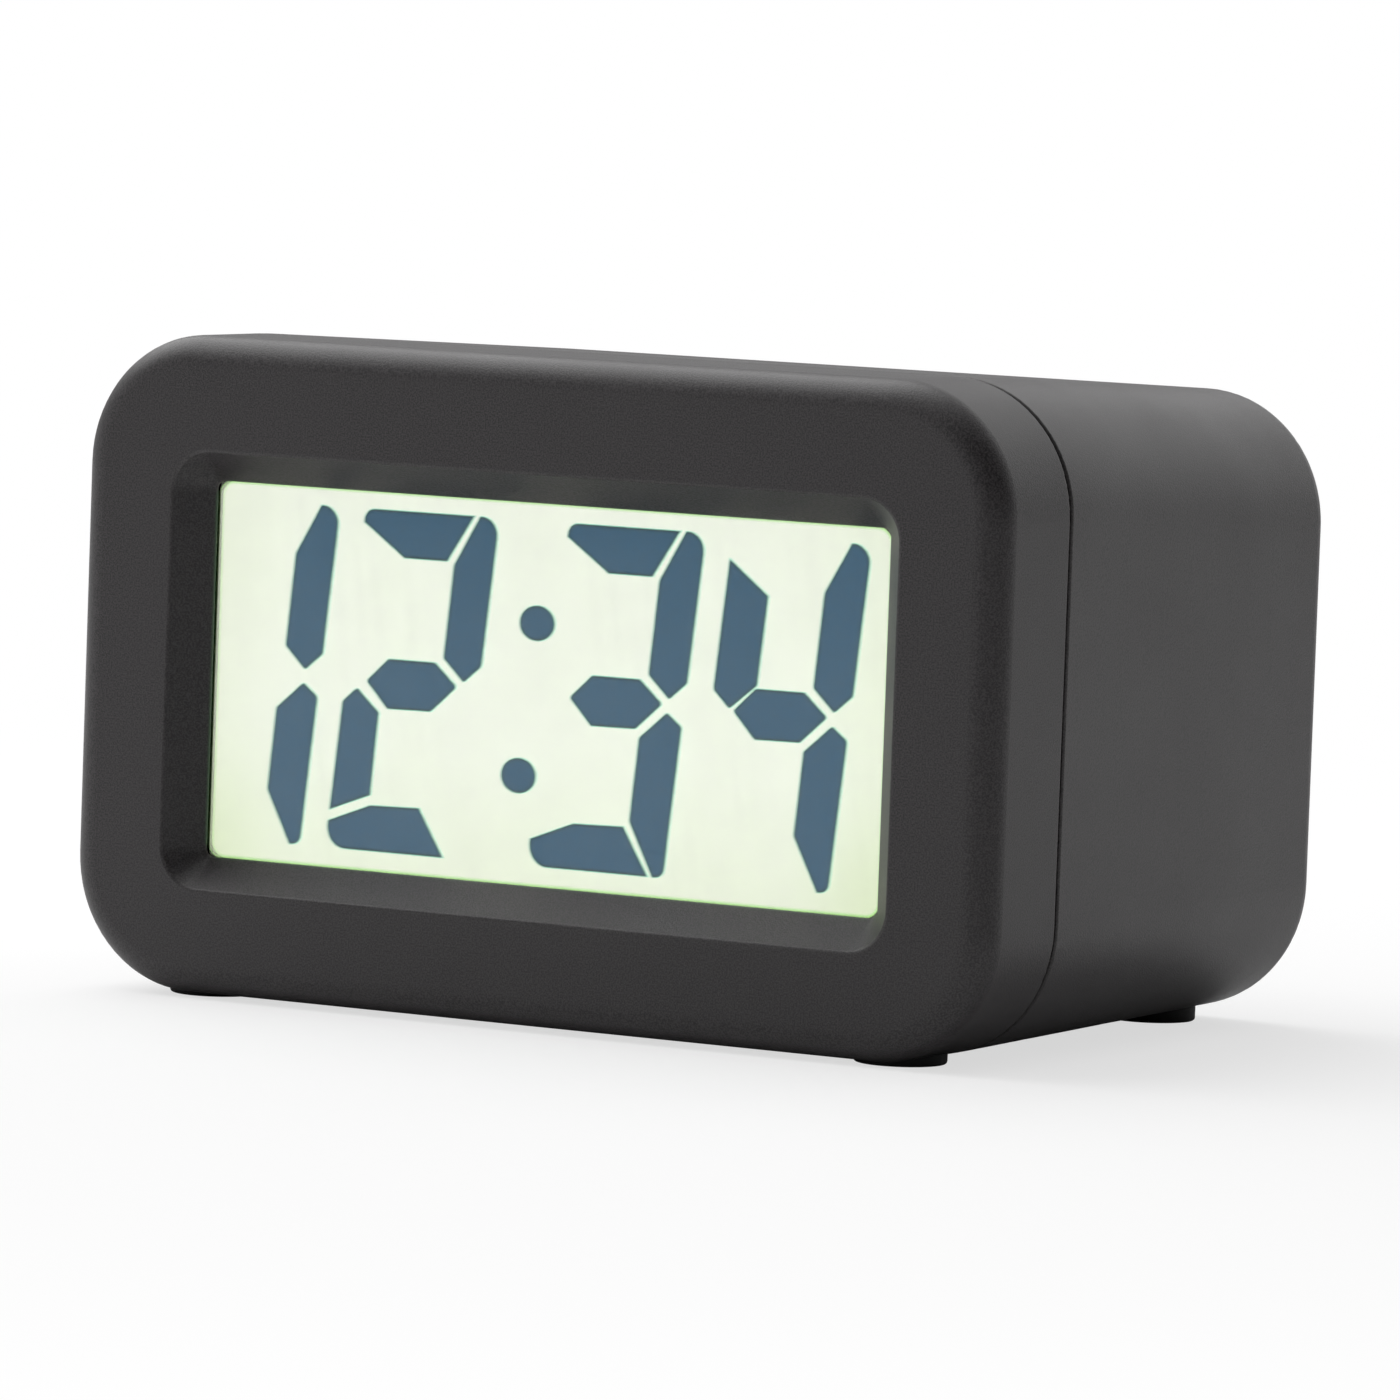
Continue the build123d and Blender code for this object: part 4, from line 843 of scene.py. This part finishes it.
class CLOCK_OT_boards(ClockStep, bpy.types.Operator):
    """Finish the circuit boards and the parts soldered to them"""

    bl_idname = "clock.boards"
    bl_label = "Circuit boards"

    def execute(self, context):
        hardware = context.scene.clock_hardware
        for node in ("main_board", "key_board", "snooze_board"):
            use(node, board_lacquer(node + "_lacquer", hardware))
        use("clock_chip", moulded("chip_resin", colour=(0.01, 0.01, 0.01), roughness=0.3,
                                  grain=0.8 * mm, depth=0.02 * mm))
        use("quartz_crystal", plated("crystal_can", colour=(0.7, 0.7, 0.68), roughness=0.25,
                                     size=0.3 * mm, stretch=(0.05, 1, 1)))
        towards_back = (-math.pi / 2, 0, 0)
        sleeves = turned_mesh("sleeved_capacitors", [((middle.x, middle.y - size.y / 2, middle.z),
                                                      towards_back, capacitor_profile())
                                                     for middle, size in middles("capacitors")], 48)
        shown_piece("sleeved_capacitors", sleeves, capacitor_sleeve(), "capacitors")
        use("resistors", resistor_finish())
        tin = plated("solder", colour=(0.62, 0.62, 0.6), roughness=0.28, size=0.4 * mm, stretch=(1, 1, 1))
        for name, places, foot_radius in (("board_solder", board_joints(), 1.15 * mm),
                                          ("resistor_solder", resistor_joints(), 0.62 * mm),
                                          ("key_board_solder", key_board_joints(), 0.8 * mm)):
            mesh = solder_joints(name, places, foot_radius, hardware.solder_height, tin)
            joints = bpy.data.objects.new(name, mesh)
            bpy.context.scene.collection.objects.link(joints)
            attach(joints, "clock_body")
        return {"FINISHED"}


def capacitor_profile():
    """A small can from its rubber bung to its vented top, as rows of reach and radius."""
    rows = ((0, 0), (0, 2.6), (0.25, 3.05), (0.6, 3.2), (1.2, 3.2), (1.45, 2.92), (1.75, 2.92), (2.0, 3.2),
            (6.55, 3.2), (6.85, 3.08), (7.0, 2.85), (6.93, 2.6), (6.72, 2.5), (6.72, 0))
    return [(reach * mm, radius * mm) for reach, radius in rows]


def capacitor_sleeve():
    """A dark sleeve with a pale stripe, and a bare top with its vent."""
    finish = Finish("capacitor_sleeve")
    place = finish.place()
    x, y, z = finish.axes(place)
    first, second = sorted(middle.x for middle, _ in middles("capacitors"))
    middle = box_middle("capacitors")
    across = abs(x - middle.x) - (second - first) / 2
    up = z - middle.z
    out = (across ** 2 + up ** 2) ** 0.5
    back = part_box("capacitors")[1].y
    top = finish.between(y, back - 0.45 * mm, back - 0.1 * mm)
    bare = top * (1 - finish.between(out, 2.55 * mm, 2.7 * mm))
    arm = finish.node("ShaderNodeMath", {"operation": "MINIMUM"}, {0: abs(across), 1: abs(up)})
    vent = bare * (1 - finish.between(arm, 0.08 * mm, 0.16 * mm))
    stripe = finish.between(up, 2.35 * mm, 2.45 * mm) * (1 - bare)
    dust = finish.noise(place, 0.6 * mm)
    sleeve = finish.mix(stripe, (0.01, 0.014, 0.045), (0.42, 0.43, 0.45))
    finish.set("Base Color", finish.scaled(finish.mix(bare, sleeve, (0.6, 0.6, 0.6)), 0.85 + dust * 0.3))
    finish.set("Metallic", bare)
    finish.set("Roughness", 0.26 + dust * 0.12)
    finish.relief(dust * 0.1 - vent, 0.12 * mm)
    return finish.material


def resistor_finish():
    """Dark chip resistors with tinned ends."""
    finish = Finish("resistor_body")
    place = finish.place()
    x, _, _ = finish.axes(place)
    low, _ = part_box("resistors")
    spacing, half_length = 4 * mm, 1 * mm
    along = finish.node("ShaderNodeMath", {"operation": "FLOORED_MODULO"}, {0: x - low.x, 1: spacing})
    tinned = finish.between(abs(along - half_length), 0.62 * mm, 0.68 * mm)
    fine = finish.noise(place, 0.12 * mm)
    finish.set("Base Color", finish.scaled(finish.mix(tinned, (0.02, 0.02, 0.022), (0.6, 0.6, 0.58)),
                                           0.85 + fine * 0.3))
    finish.set("Metallic", tinned)
    finish.set("Roughness", 0.38 - tinned * 0.1 + fine * 0.1)
    finish.relief(fine, 0.004 * mm)
    return finish.material


def ends_on(node, level, side):
    """The middles of a node's faces that touch a board at this depth, on its low or high side."""
    touching, widest_end = 0.02 * mm, 1.6 * mm
    near = [vertex.co for vertex in nodes[node].data.vertices if abs(vertex.co.y - level) < touching]
    groups = []
    for point in near:
        for group in groups:
            if math.hypot(point.x - group[0].x, point.z - group[0].z) < widest_end:
                group.append(point)
                break
        else:
            groups.append([point])
    turn = (-side * math.pi / 2, 0, 0)
    found = []
    for group in groups:
        across = (min(point.x for point in group) + max(point.x for point in group)) / 2
        up = (min(point.z for point in group) + max(point.z for point in group)) / 2
        found.append(((across, level, up), turn))
    return found


def board_joints():
    """Where the leads are soldered to the main board's back."""
    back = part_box("main_board")[1].y
    return [place for node in ("red_lead", "black_lead", "sounder_leads", "snooze_leads")
            for place in ends_on(node, back, 1)]


def resistor_joints():
    """Both ends of every resistor."""
    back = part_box("main_board")[1].y
    beyond = 0.1 * mm
    return [((middle.x + side * (size.x / 2 + beyond), back, middle.z), (-math.pi / 2, 0, 0))
            for middle, size in middles("resistors") for side in (-1, 1)]


def key_board_joints():
    """The switches' legs, which come through on the key board's front."""
    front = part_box("key_board")[0].y
    leg_across, leg_up = 2.9 * mm, 2.2 * mm
    return [((middle.x + across * leg_across, front, middle.z + up * leg_up), (math.pi / 2, 0, 0))
            for middle, _ in middles("key_switches") + middles("alarm_slide_switch")
            for across in (-1, 1) for up in (-1, 1)]


def solder_joints(name, places, foot_radius, height, material):
    """Cones of solder with hollow flanks, one at each place."""
    growth = Growth(name)
    foot = growth.given("Foot radius", "Float", foot_radius)
    tip = growth.given("Tip radius", "Float", foot_radius * 0.5)
    tall = growth.given("Height", "Float", height)
    rod = growth.node("GeometryNodeMeshCylinder", sockets={"Vertices": 14, "Side Segments": 5,
                                                           "Radius": 1.0, "Depth": 1.0})
    x, y, z = growth.axes(growth.node("GeometryNodeInputPosition"))
    share = z + 0.5
    narrowed = tip + (foot - tip) * (1 - share) ** 2
    shaped = growth.node("ShaderNodeCombineXYZ", sockets={0: x * narrowed, 1: y * narrowed, 2: share * tall})
    cone = growth.node("GeometryNodeSetPosition", sockets={"Geometry": rod, "Position": shaped})
    return growth.mesh(growth.repeated(cone), places, material)


class CLOCK_OT_switches(ClockStep, bpy.types.Operator):
    """Finish the switches, their plungers and the sounder"""

    bl_idname = "clock.switches"
    bl_label = "Switches and sounder"

    def execute(self, context):
        use("sounder_case", moulded("switch_plastic", colour=(0.018, 0.018, 0.02), roughness=0.4,
                                    grain=0.2 * mm, depth=0.006 * mm))
        for node, axis, share in (("key_switches", 1, 0.72), ("snooze_switch", 2, 0.72),
                                  ("alarm_slide_switch", 1, 0.45)):
            use(node, covered_switch(node, axis, share))
        dark = moulded("plunger_plastic", colour=(0.045, 0.045, 0.05), roughness=0.3, grain=0.2 * mm,
                       depth=0.003 * mm)
        for node in ("time_plunger", "alarm_plunger", "hour_plunger", "minute_plunger", "snooze_plunger"):
            use(node, dark)
        use("sounder_disc", plated("sounder_brass", colour=(0.75, 0.56, 0.22), roughness=0.3,
                                   size=0.4 * mm, stretch=(1, 1, 0.06)))
        return {"FINISHED"}


def covered_switch(node, axis, share):
    """A black moulded switch under a folded plated cover; share is how much of its height is black."""
    finish = Finish(node + "_body")
    place = finish.place()
    low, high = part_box(node)
    edge = low[axis] + (high[axis] - low[axis]) * share
    covered = finish.between(finish.axes(place)[axis], edge - 0.02 * mm, edge + 0.02 * mm)
    fine = finish.noise(place, 0.2 * mm)
    finish.set("Base Color", finish.scaled(finish.mix(covered, (0.018, 0.018, 0.02), (0.55, 0.55, 0.53)),
                                           0.85 + fine * 0.3))
    finish.set("Metallic", covered)
    finish.set("Roughness", 0.36 + fine * 0.14)
    finish.relief(covered * 2 + fine * 0.2, 0.02 * mm)
    return finish.material


class CLOCK_OT_cells(ClockStep, bpy.types.Operator):
    """Finish the two cells"""

    bl_idname = "clock.cells"
    bl_label = "Cells"

    def execute(self, context):
        for node, side in (("upper_cell", 1), ("lower_cell", -1)):
            material = cell_jacket(node, side, context.scene.clock_hardware)
            low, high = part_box(node)
            start = low.x if side > 0 else high.x
            middle = box_middle(node)
            mesh = turned_mesh(node + "_wrapped", [((start, middle.y, middle.z),
                                                    (0, side * math.pi / 2, 0), cell_profile())])
            shown_piece(node + "_wrapped", mesh, material, node)
        return {"FINISHED"}


def cell_profile():
    """A cell from its flat end to its nub, with crimped jacket ends, as rows of reach and radius."""
    rows = ((0, 0), (0, 4.4), (0.3, 4.7), (0.32, 5.5), (0.1, 5.9), (0, 6.3), (0.12, 6.8), (0.5, 7.06),
            (0.9, 7.1), (24.6, 7.1), (48.3, 7.1), (48.7, 7.06), (49.08, 6.8), (49.2, 6.3), (49.1, 5.95),
            (48.75, 5.7), (48.7, 4.2), (48.95, 3.9), (49.15, 3.2), (49.2, 2.7), (50.05, 2.65),
            (50.36, 2.45), (50.5, 2.05), (50.5, 0))
    return [(reach * mm, radius * mm) for reach, radius in rows]


def cell_jacket(node, side, settings):
    """A plain two-tone jacket over bare plated ends; side is where the nub points."""
    finish = Finish(node + "_jacket")
    place = finish.place()
    x, y, z = finish.axes(place)
    middle = box_middle(node)
    half_length, band_start, line_place = 25.25 * mm, 39.4 * mm, 38.6 * mm
    along = (x - middle.x) * side + half_length
    out = ((y - middle.y) ** 2 + (z - middle.z) ** 2) ** 0.5
    bare = 1 - finish.between(out, 5.75 * mm, 5.95 * mm)
    band = finish.between(along, band_start, band_start + 0.1 * mm)
    line = finish.between(abs(along - line_place), 0.3 * mm, 0.2 * mm)
    streaks = finish.noise(place, 1.2 * mm, detail=3.0, stretch=(0.15, 1, 1))
    printed = finish.mix(band, settings.cell_colour, (0.5, 0.5, 0.48))
    lined = finish.mix(line, printed, (0.7, 0.7, 0.68))
    metal = finish.scaled((0.66, 0.66, 0.64), 0.85 + streaks * 0.25)
    finish.set("Base Color", finish.mix(bare, finish.scaled(lined, 0.92 + streaks * 0.16), metal))
    finish.set("Metallic", bare)
    finish.set("Roughness", 0.3 + (streaks - 0.5) * 0.12)
    finish.relief(streaks, 0.004 * mm)
    return finish.material


class CLOCK_OT_contacts(ClockStep, bpy.types.Operator):
    """Finish the battery contacts and springs"""

    bl_idname = "clock.contacts"
    bl_label = "Contacts and springs"

    def execute(self, context):
        hardware = context.scene.clock_hardware
        nickel = plated("nickel_plate", colour=hardware.metal_colour, roughness=0.25, size=0.3 * mm,
                        stretch=(1, 0.08, 1))
        for node in ("bridge_contact", "positive_contact", "negative_contact"):
            use(node, nickel)
        shown_piece("coiled_springs", coiled_springs(hardware, nickel), nickel, "battery_springs")
        return {"FINISHED"}


def coiled_springs(settings, material):
    """The two conical battery springs, each with its end coils closed, wide at its contact plate."""
    seated_length = 6.3 * mm
    low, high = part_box("battery_springs")
    places = []
    for cell, start, side in (("upper_cell", low.x, -1), ("lower_cell", high.x, 1)):
        axis = box_middle(cell)
        places.append(((start, axis.y, axis.z), (0, -side * math.pi / 2, 0)))
    growth = Growth("spring_coils")
    wire = growth.given("Wire radius", "Float", settings.wire_radius)
    turns = growth.given("Turns", "Float", float(settings.coil_turns))
    wide = growth.given("Radius at the plate", "Float", 3.1 * mm)
    narrow = growth.given("Radius at the cell", "Float", 2.1 * mm)
    long = growth.given("Length", "Float", seated_length - 2 * settings.wire_radius)
    spiral = growth.node("GeometryNodeCurveSpiral",
                         sockets={"Resolution": 40, "Rotations": turns, "Start Radius": wide,
                                  "End Radius": narrow, "Height": long})
    share = growth.node("GeometryNodeSplineParameter", output="Factor")
    x, y, _ = growth.axes(growth.node("GeometryNodeInputPosition"))
    risen = growth.between(share, 0.06, 0.94) * long + wire
    lifted = growth.node("ShaderNodeCombineXYZ", sockets={0: x, 1: y, 2: risen})
    coil = growth.node("GeometryNodeSetPosition", sockets={"Geometry": spiral, "Position": lifted})
    ring = growth.node("GeometryNodeCurvePrimitiveCircle", sockets={"Resolution": 12, "Radius": wire})
    tube = growth.node("GeometryNodeCurveToMesh", sockets={"Curve": coil, "Profile Curve": ring,
                                                           "Fill Caps": True})
    return growth.mesh(growth.repeated(tube), places, material)


class CLOCK_OT_leads(ClockStep, bpy.types.Operator):
    """Finish the leads and the ribbon"""

    bl_idname = "clock.leads"
    bl_label = "Leads"

    def execute(self, context):
        use("red_lead", moulded("red_insulation", colour=(0.45, 0.015, 0.012), roughness=0.32,
                                grain=0.6 * mm, depth=0.004 * mm))
        black = moulded("black_insulation", colour=(0.012, 0.012, 0.013), roughness=0.32,
                        grain=0.6 * mm, depth=0.004 * mm)
        for node in ("black_lead", "sounder_leads", "snooze_leads"):
            use(node, black)
        use("key_ribbon", ribbon_insulation())
        return {"FINISHED"}


def ribbon_insulation():
    """A grey ribbon of round cores, the first of them red."""
    finish = Finish("ribbon_insulation")
    place = finish.place()
    x, _, _ = finish.axes(place)
    start, core_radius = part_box("key_ribbon")[0].x, 0.5 * mm
    core = finish.steps(x - start, core_radius) * (1 / core_radius)
    first = 1 - finish.between(x, start + 0.95 * mm, start + mm)
    fine = finish.noise(place, 0.6 * mm)
    marked = finish.mix(first, (0.4, 0.4, 0.42), (0.42, 0.03, 0.03))
    # Painted shade: the colour darkens in the grooves between the cores and lightens on their crowns, as well
    # as the relief.
    finish.set("Base Color", finish.scaled(marked, 0.7 + core ** 0.5 * 0.25 + fine * 0.1))
    finish.set("Roughness", 0.38 + fine * 0.08)
    finish.relief(core ** 0.5, 0.25 * mm)
    return finish.material


class CLOCK_OT_screws(ClockStep, bpy.types.Operator):
    """Build the screws with their threads and cross drives"""

    bl_idname = "clock.screws"
    bl_label = "Screws"

    def execute(self, context):
        settings = context.scene.clock_hardware
        zinc = plated("zinc_plate", colour=settings.metal_colour, roughness=0.35, size=0.25 * mm,
                      stretch=(1, 1, 1), tarnish=0.25)
        large = {"radius": 1.45 * mm, "head_height": 2.0 * mm, "pitch": settings.thread_pitch}
        small = {"radius": 0.95 * mm, "head_height": 1.3 * mm, "pitch": settings.thread_pitch * 0.7}
        for node, sizes, way in (("case_screws", large, (0, 1, 0)), ("board_screws", small, (0, 1, 0)),
                                 ("key_board_screws", small, (0, -1, 0)),
                                 ("snooze_board_screws", small, (0, 0, -1))):
            mesh = threaded_screws(node, Vector(way), settings.thread_depth, zinc, **sizes)
            shown_piece("threaded_" + node, mesh, zinc, node)
        return {"FINISHED"}


def threaded_screws(node, way, thread_depth, material, radius, head_height, pitch):
    """The screws of a node, with threads, pan heads and cross drives; way is where the heads point."""
    turn = way.to_track_quat("Z", "X").to_euler()
    bodies = middles(node)
    _, wide, length = sorted(bodies[-1][1])
    places = [(middle + way * (max(size) / 2 - head_height), turn) for middle, size in bodies]
    shank = length - head_height
    tip_length = pitch * 1.1
    head = pan_head(wide / 2, head_height)
    growth = Growth("threads_of_" + node)
    core = growth.given("Core radius", "Float", radius - thread_depth)
    depth = growth.given("Thread depth", "Float", thread_depth)
    long = growth.given("Threaded length", "Float", shank - 2 * pitch)
    turns = growth.given("Turns", "Float", shank / pitch - 2)
    crown = growth.given("Head", "Object", head)
    spiral = growth.node("GeometryNodeCurveSpiral",
                         sockets={"Resolution": 18, "Rotations": turns, "Start Radius": core,
                                  "End Radius": core, "Height": long})
    upright = growth.node("GeometryNodeSetCurveNormal", {"mode": "Z_UP"}, {"Curve": spiral})
    ridge = growth.node("GeometryNodeCurvePrimitiveCircle", sockets={"Resolution": 4, "Radius": depth})
    thread = growth.node("GeometryNodeCurveToMesh", sockets={"Curve": upright, "Profile Curve": ridge,
                                                             "Fill Caps": True})
    rod = growth.node("GeometryNodeMeshCylinder", sockets={"Vertices": 24, "Radius": core,
                                                           "Depth": long + 1.5 * pitch})
    point = growth.node("GeometryNodeMeshCone", sockets={"Vertices": 24, "Radius Top": 0.2 * mm,
                                                         "Radius Bottom": core, "Depth": tip_length})
    tip = growth.node("GeometryNodeTransform", sockets={"Geometry": point, "Rotation": (math.pi, 0, 0),
                                                        "Translation": (0, 0, -shank)})
    raised = growth.node("GeometryNodeObjectInfo", sockets={"Object": crown}, output="Geometry")
    whole = growth.joined(growth.moved(thread, (0, 0, -shank + 1.3 * pitch)),
                          growth.moved(rod, (0, 0, -shank / 2 + 0.5 * pitch)),
                          growth.moved(tip, (0, 0, tip_length)), raised)
    mesh = growth.mesh(growth.repeated(whole), places, material)
    bpy.data.objects.remove(head)
    return mesh


def pan_head(radius, height):
    """A pan head that stands on its seat, with a tapered cross drive."""
    chamfer, rounding = 0.1 * mm, 8
    profile = [(0, 0), (0, radius - chamfer), (chamfer, radius), (height / 2, radius)]
    for step in range(1, rounding + 1):
        angle = step / rounding * math.pi / 2
        profile.append((height / 2 * (1 + math.sin(angle)), radius - height / 2 * (1 - math.cos(angle))))
    profile.append((height, 0))
    head = bpy.data.objects.new("pan_head", turned_mesh("pan_head", [((0, 0, 0), (0, 0, 0), profile)], 48))
    drive = bpy.data.objects.new("cross_drive", cross_drive(radius * 0.65, height))
    for item in (head, drive):
        bpy.context.scene.collection.objects.link(item)
    cut = head.modifiers.new("cross", "BOOLEAN")
    cut.operation = "DIFFERENCE"
    cut.solver = "EXACT"
    cut.object = drive
    evaluated = head.evaluated_get(bpy.context.evaluated_depsgraph_get())
    finished = bpy.data.meshes.new_from_object(evaluated)
    head.modifiers.clear()
    head.data = finished
    bpy.data.objects.remove(drive)
    return head


def cross_drive(arm, height):
    """The tapered cross that is cut from a head of this height."""
    half, above, depth = 0.3 * mm, 0.4 * mm, 0.7 * mm
    wide_above, wide_below = 1.2, 0.72
    outline = [(arm, -half), (arm, half), (half, half), (half, arm), (-half, arm), (-half, half),
               (-arm, half), (-arm, -half), (-half, -half), (-half, -arm), (half, -arm), (half, -half)]
    cutter = bmesh.new()
    upper, lower = [[cutter.verts.new((x * scale, y * scale, z)) for x, y in outline]
                    for z, scale in ((height + above, wide_above), (height - depth, wide_below))]
    for step in range(len(outline)):
        ahead = (step + 1) % len(outline)
        cutter.faces.new((upper[step], upper[ahead], lower[ahead], lower[step]))
    cutter.faces.new(upper)
    cutter.faces.new(lower[::-1])
    bmesh.ops.recalc_face_normals(cutter, faces=cutter.faces)
    mesh = bpy.data.meshes.new("cross_drive")
    cutter.to_mesh(mesh)
    cutter.free()
    return mesh


class CLOCK_OT_feet(ClockStep, bpy.types.Operator):
    """Finish the rubber feet"""

    bl_idname = "clock.feet"
    bl_label = "Rubber feet"

    def execute(self, context):
        use("rubber_feet", foot_rubber())
        return {"FINISHED"}


def foot_rubber():
    """Dull rubber with fine rings under each foot."""
    rear_reach, front_reach, depth_reach = 44.5 * mm, 48 * mm, 33 * mm
    finish = Finish("foot_rubber")
    place = finish.place()
    x, y, z = finish.axes(place)
    in_front = finish.between(y, mm, 0)
    across = abs(x) - (rear_reach + in_front * (front_reach - rear_reach))
    along = abs(y) - depth_reach
    out = (across ** 2 + along ** 2) ** 0.5
    rings = finish.between(finish.steps(out, 0.5 * mm), 0.15 * mm, 0.32 * mm)
    underneath = 1 - finish.between(z, 0.05 * mm, 0.12 * mm)
    worn = finish.noise(place, 1.5 * mm)
    fine = finish.noise(place, 0.2 * mm)
    finish.set("Base Color", finish.scaled((0.014, 0.014, 0.014), 0.8 + worn * 0.5 + fine * 0.3))
    finish.set("Roughness", 0.68 + worn * 0.15)
    finish.relief(rings * underneath + fine * 0.15, 0.06 * mm)
    return finish.material


class CLOCK_OT_stage(ClockStep, bpy.types.Operator):
    """Build the floor, the lamps and the camera"""

    bl_idname = "clock.stage"
    bl_label = "Stage"

    def execute(self, context):
        settings = context.scene.clock_stage
        add_floor(settings)
        add_sky(settings)
        add_lamp("soft_box", place=(-0.55, 0.1, 0.85), side=1.1, power=settings.soft_light)
        add_lamp("front_lamp", place=(-0.62, -0.65, 0.8), side=0.6, power=settings.front_light)
        add_lamp("back_lamp", place=(0.05, 0.85, 0.45), side=0.8, power=settings.back_light)
        add_camera()
        context.scene.view_settings.view_transform = "Standard"
        return {"FINISHED"}


def add_floor(settings):
    """A large pale floor, which keeps the clock's shadow and fades into the white surround."""
    floor_radius, fade_start, fade_end, least_white = 3.0, 0.1, 0.4, 0.66
    shape = bmesh.new()
    bmesh.ops.create_circle(shape, cap_ends=True, segments=96, radius=floor_radius)
    mesh = bpy.data.meshes.new("studio_floor")
    shape.to_mesh(mesh)
    shape.free()
    floor = bpy.data.objects.new("studio_floor", mesh)
    bpy.context.scene.collection.objects.link(floor)
    finish = Finish("floor_paper", Roughness=0.9)
    finish.set("Specular IOR Level", 0.0)
    place = finish.place()
    tooth = finish.noise(place, 2 * mm)
    finish.set("Base Color", finish.scaled(settings.floor_colour, 0.99 + tooth * 0.02))
    white = finish.node("ShaderNodeEmission", sockets={"Color": (1, 1, 1), "Strength": 1.0})
    seen = finish.node("ShaderNodeLightPath", output="Is Camera Ray")
    away = finish.node("ShaderNodeVectorMath", {"operation": "LENGTH"}, {0: place}, output="Value")
    fade = least_white + finish.between(away, fade_start, fade_end) * (1 - least_white)
    mixed = finish.node("ShaderNodeMixShader", sockets={0: seen * fade, 2: white})
    finish.tree.links.new(finish.shader.outputs[0], mixed.socket.node.inputs[1])
    finish.tree.links.new(mixed.socket, finish.output.inputs[0])
    mesh.materials.append(finish.material)


def add_sky(settings):
    """Light from all round, weaker at the low front right, which the camera sees as white."""
    low_front_right = (0.82, -0.55, -0.1)
    world = bpy.data.worlds.new("studio_surround")
    world.use_nodes = True
    web = Web(world.node_tree)
    way = web.node("ShaderNodeTexCoord", output="Generated")
    facing = web.node("ShaderNodeVectorMath", {"operation": "DOT_PRODUCT"}, {0: way, 1: low_front_right},
                      output="Value")
    shaded = web.between(facing, 0.1, 0.6)
    strength = settings.sky_light + shaded * (settings.shade_light - settings.sky_light)
    soft = web.node("ShaderNodeBackground", sockets={"Color": (1, 1, 1), "Strength": strength})
    white = web.node("ShaderNodeBackground", sockets={"Color": (1, 1, 1), "Strength": 1.0})
    seen = web.node("ShaderNodeLightPath", output="Is Camera Ray")
    mixed = web.node("ShaderNodeMixShader", sockets={0: seen, 1: soft, 2: white})
    output = web.tree.nodes.new("ShaderNodeOutputWorld")
    web.tree.links.new(mixed.socket, output.inputs[0])
    bpy.context.scene.world = world


def add_lamp(name, place, side, power):
    """A square soft lamp that faces the middle of the clock."""
    target = Vector((0, 0, cad_box[1].z / 2))
    light = bpy.data.lights.new(name, "AREA")
    light.size = side
    light.energy = power
    lamp = bpy.data.objects.new(name, light)
    lamp.location = place
    lamp.rotation_euler = (target - Vector(place)).to_track_quat("-Z", "Y").to_euler()
    bpy.context.scene.collection.objects.link(lamp)


def add_camera():
    """The camera at the photograph's viewing angle."""
    data = bpy.data.cameras.new("photo_camera")
    data.sensor_width = sensor_width
    data.lens = focal_pixels / photo_side * sensor_width
    camera = bpy.data.objects.new("photo_camera", data)
    bpy.context.scene.collection.objects.link(camera)
    ahead = Vector((-math.sin(camera_yaw) * math.cos(camera_pitch),
                    math.cos(camera_yaw) * math.cos(camera_pitch), -math.sin(camera_pitch)))
    level = Vector((math.cos(camera_yaw), math.sin(camera_yaw), 0))
    upright = level.cross(ahead)
    across = level * math.cos(camera_roll) + upright * math.sin(camera_roll)
    up = upright * math.cos(camera_roll) - level * math.sin(camera_roll)
    turn = Matrix((across, up, -ahead)).transposed().to_4x4()
    camera.matrix_world = Matrix.Translation(camera_eye) @ turn
    data.clip_start = 0.05
    data.clip_end = 20.0
    bpy.context.scene.camera = camera


steps = (CLOCK_OT_case, CLOCK_OT_keys, CLOCK_OT_pane, CLOCK_OT_glasses, CLOCK_OT_segments,
         CLOCK_OT_backlight, CLOCK_OT_display_frame, CLOCK_OT_boards, CLOCK_OT_switches, CLOCK_OT_cells,
         CLOCK_OT_contacts, CLOCK_OT_leads, CLOCK_OT_screws, CLOCK_OT_feet, CLOCK_OT_stage)
groups = {"clock_case": CaseSettings, "clock_display": DisplaySettings,
          "clock_hardware": HardwareSettings, "clock_stage": StageSettings}


class CLOCK_PT_panel(bpy.types.Panel):
    """The clock's settings and steps in the sidebar"""

    bl_idname = "CLOCK_PT_panel"
    bl_label = "Desk clock"
    bl_space_type = "VIEW_3D"
    bl_region_type = "UI"
    bl_category = "Desk clock"

    def draw(self, context):
        for name, group in groups.items():
            column = self.layout.box().column()
            for field in group.__annotations__:
                column.prop(getattr(context.scene, name), field)
        for step in steps:
            self.layout.operator(step.bl_idname)


def register():
    """Registers the settings, the steps and the panel."""
    for name, group in groups.items():
        bpy.utils.register_class(group)
        setattr(bpy.types.Scene, name, PointerProperty(type=group))
    for step in steps:
        bpy.utils.register_class(step)
    bpy.utils.register_class(CLOCK_PT_panel)


def unregister():
    """Takes the panel, the steps and the settings away again."""
    bpy.utils.unregister_class(CLOCK_PT_panel)
    for step in reversed(steps):
        bpy.utils.unregister_class(step)
    for name, group in groups.items():
        delattr(bpy.types.Scene, name)
        bpy.utils.unregister_class(group)


def main():
    """Registers the panel and runs every step in order."""
    register()
    for step in steps:
        getattr(bpy.ops.clock, step.bl_idname.split(".")[1])()


if __name__ == "__main__":
    main()
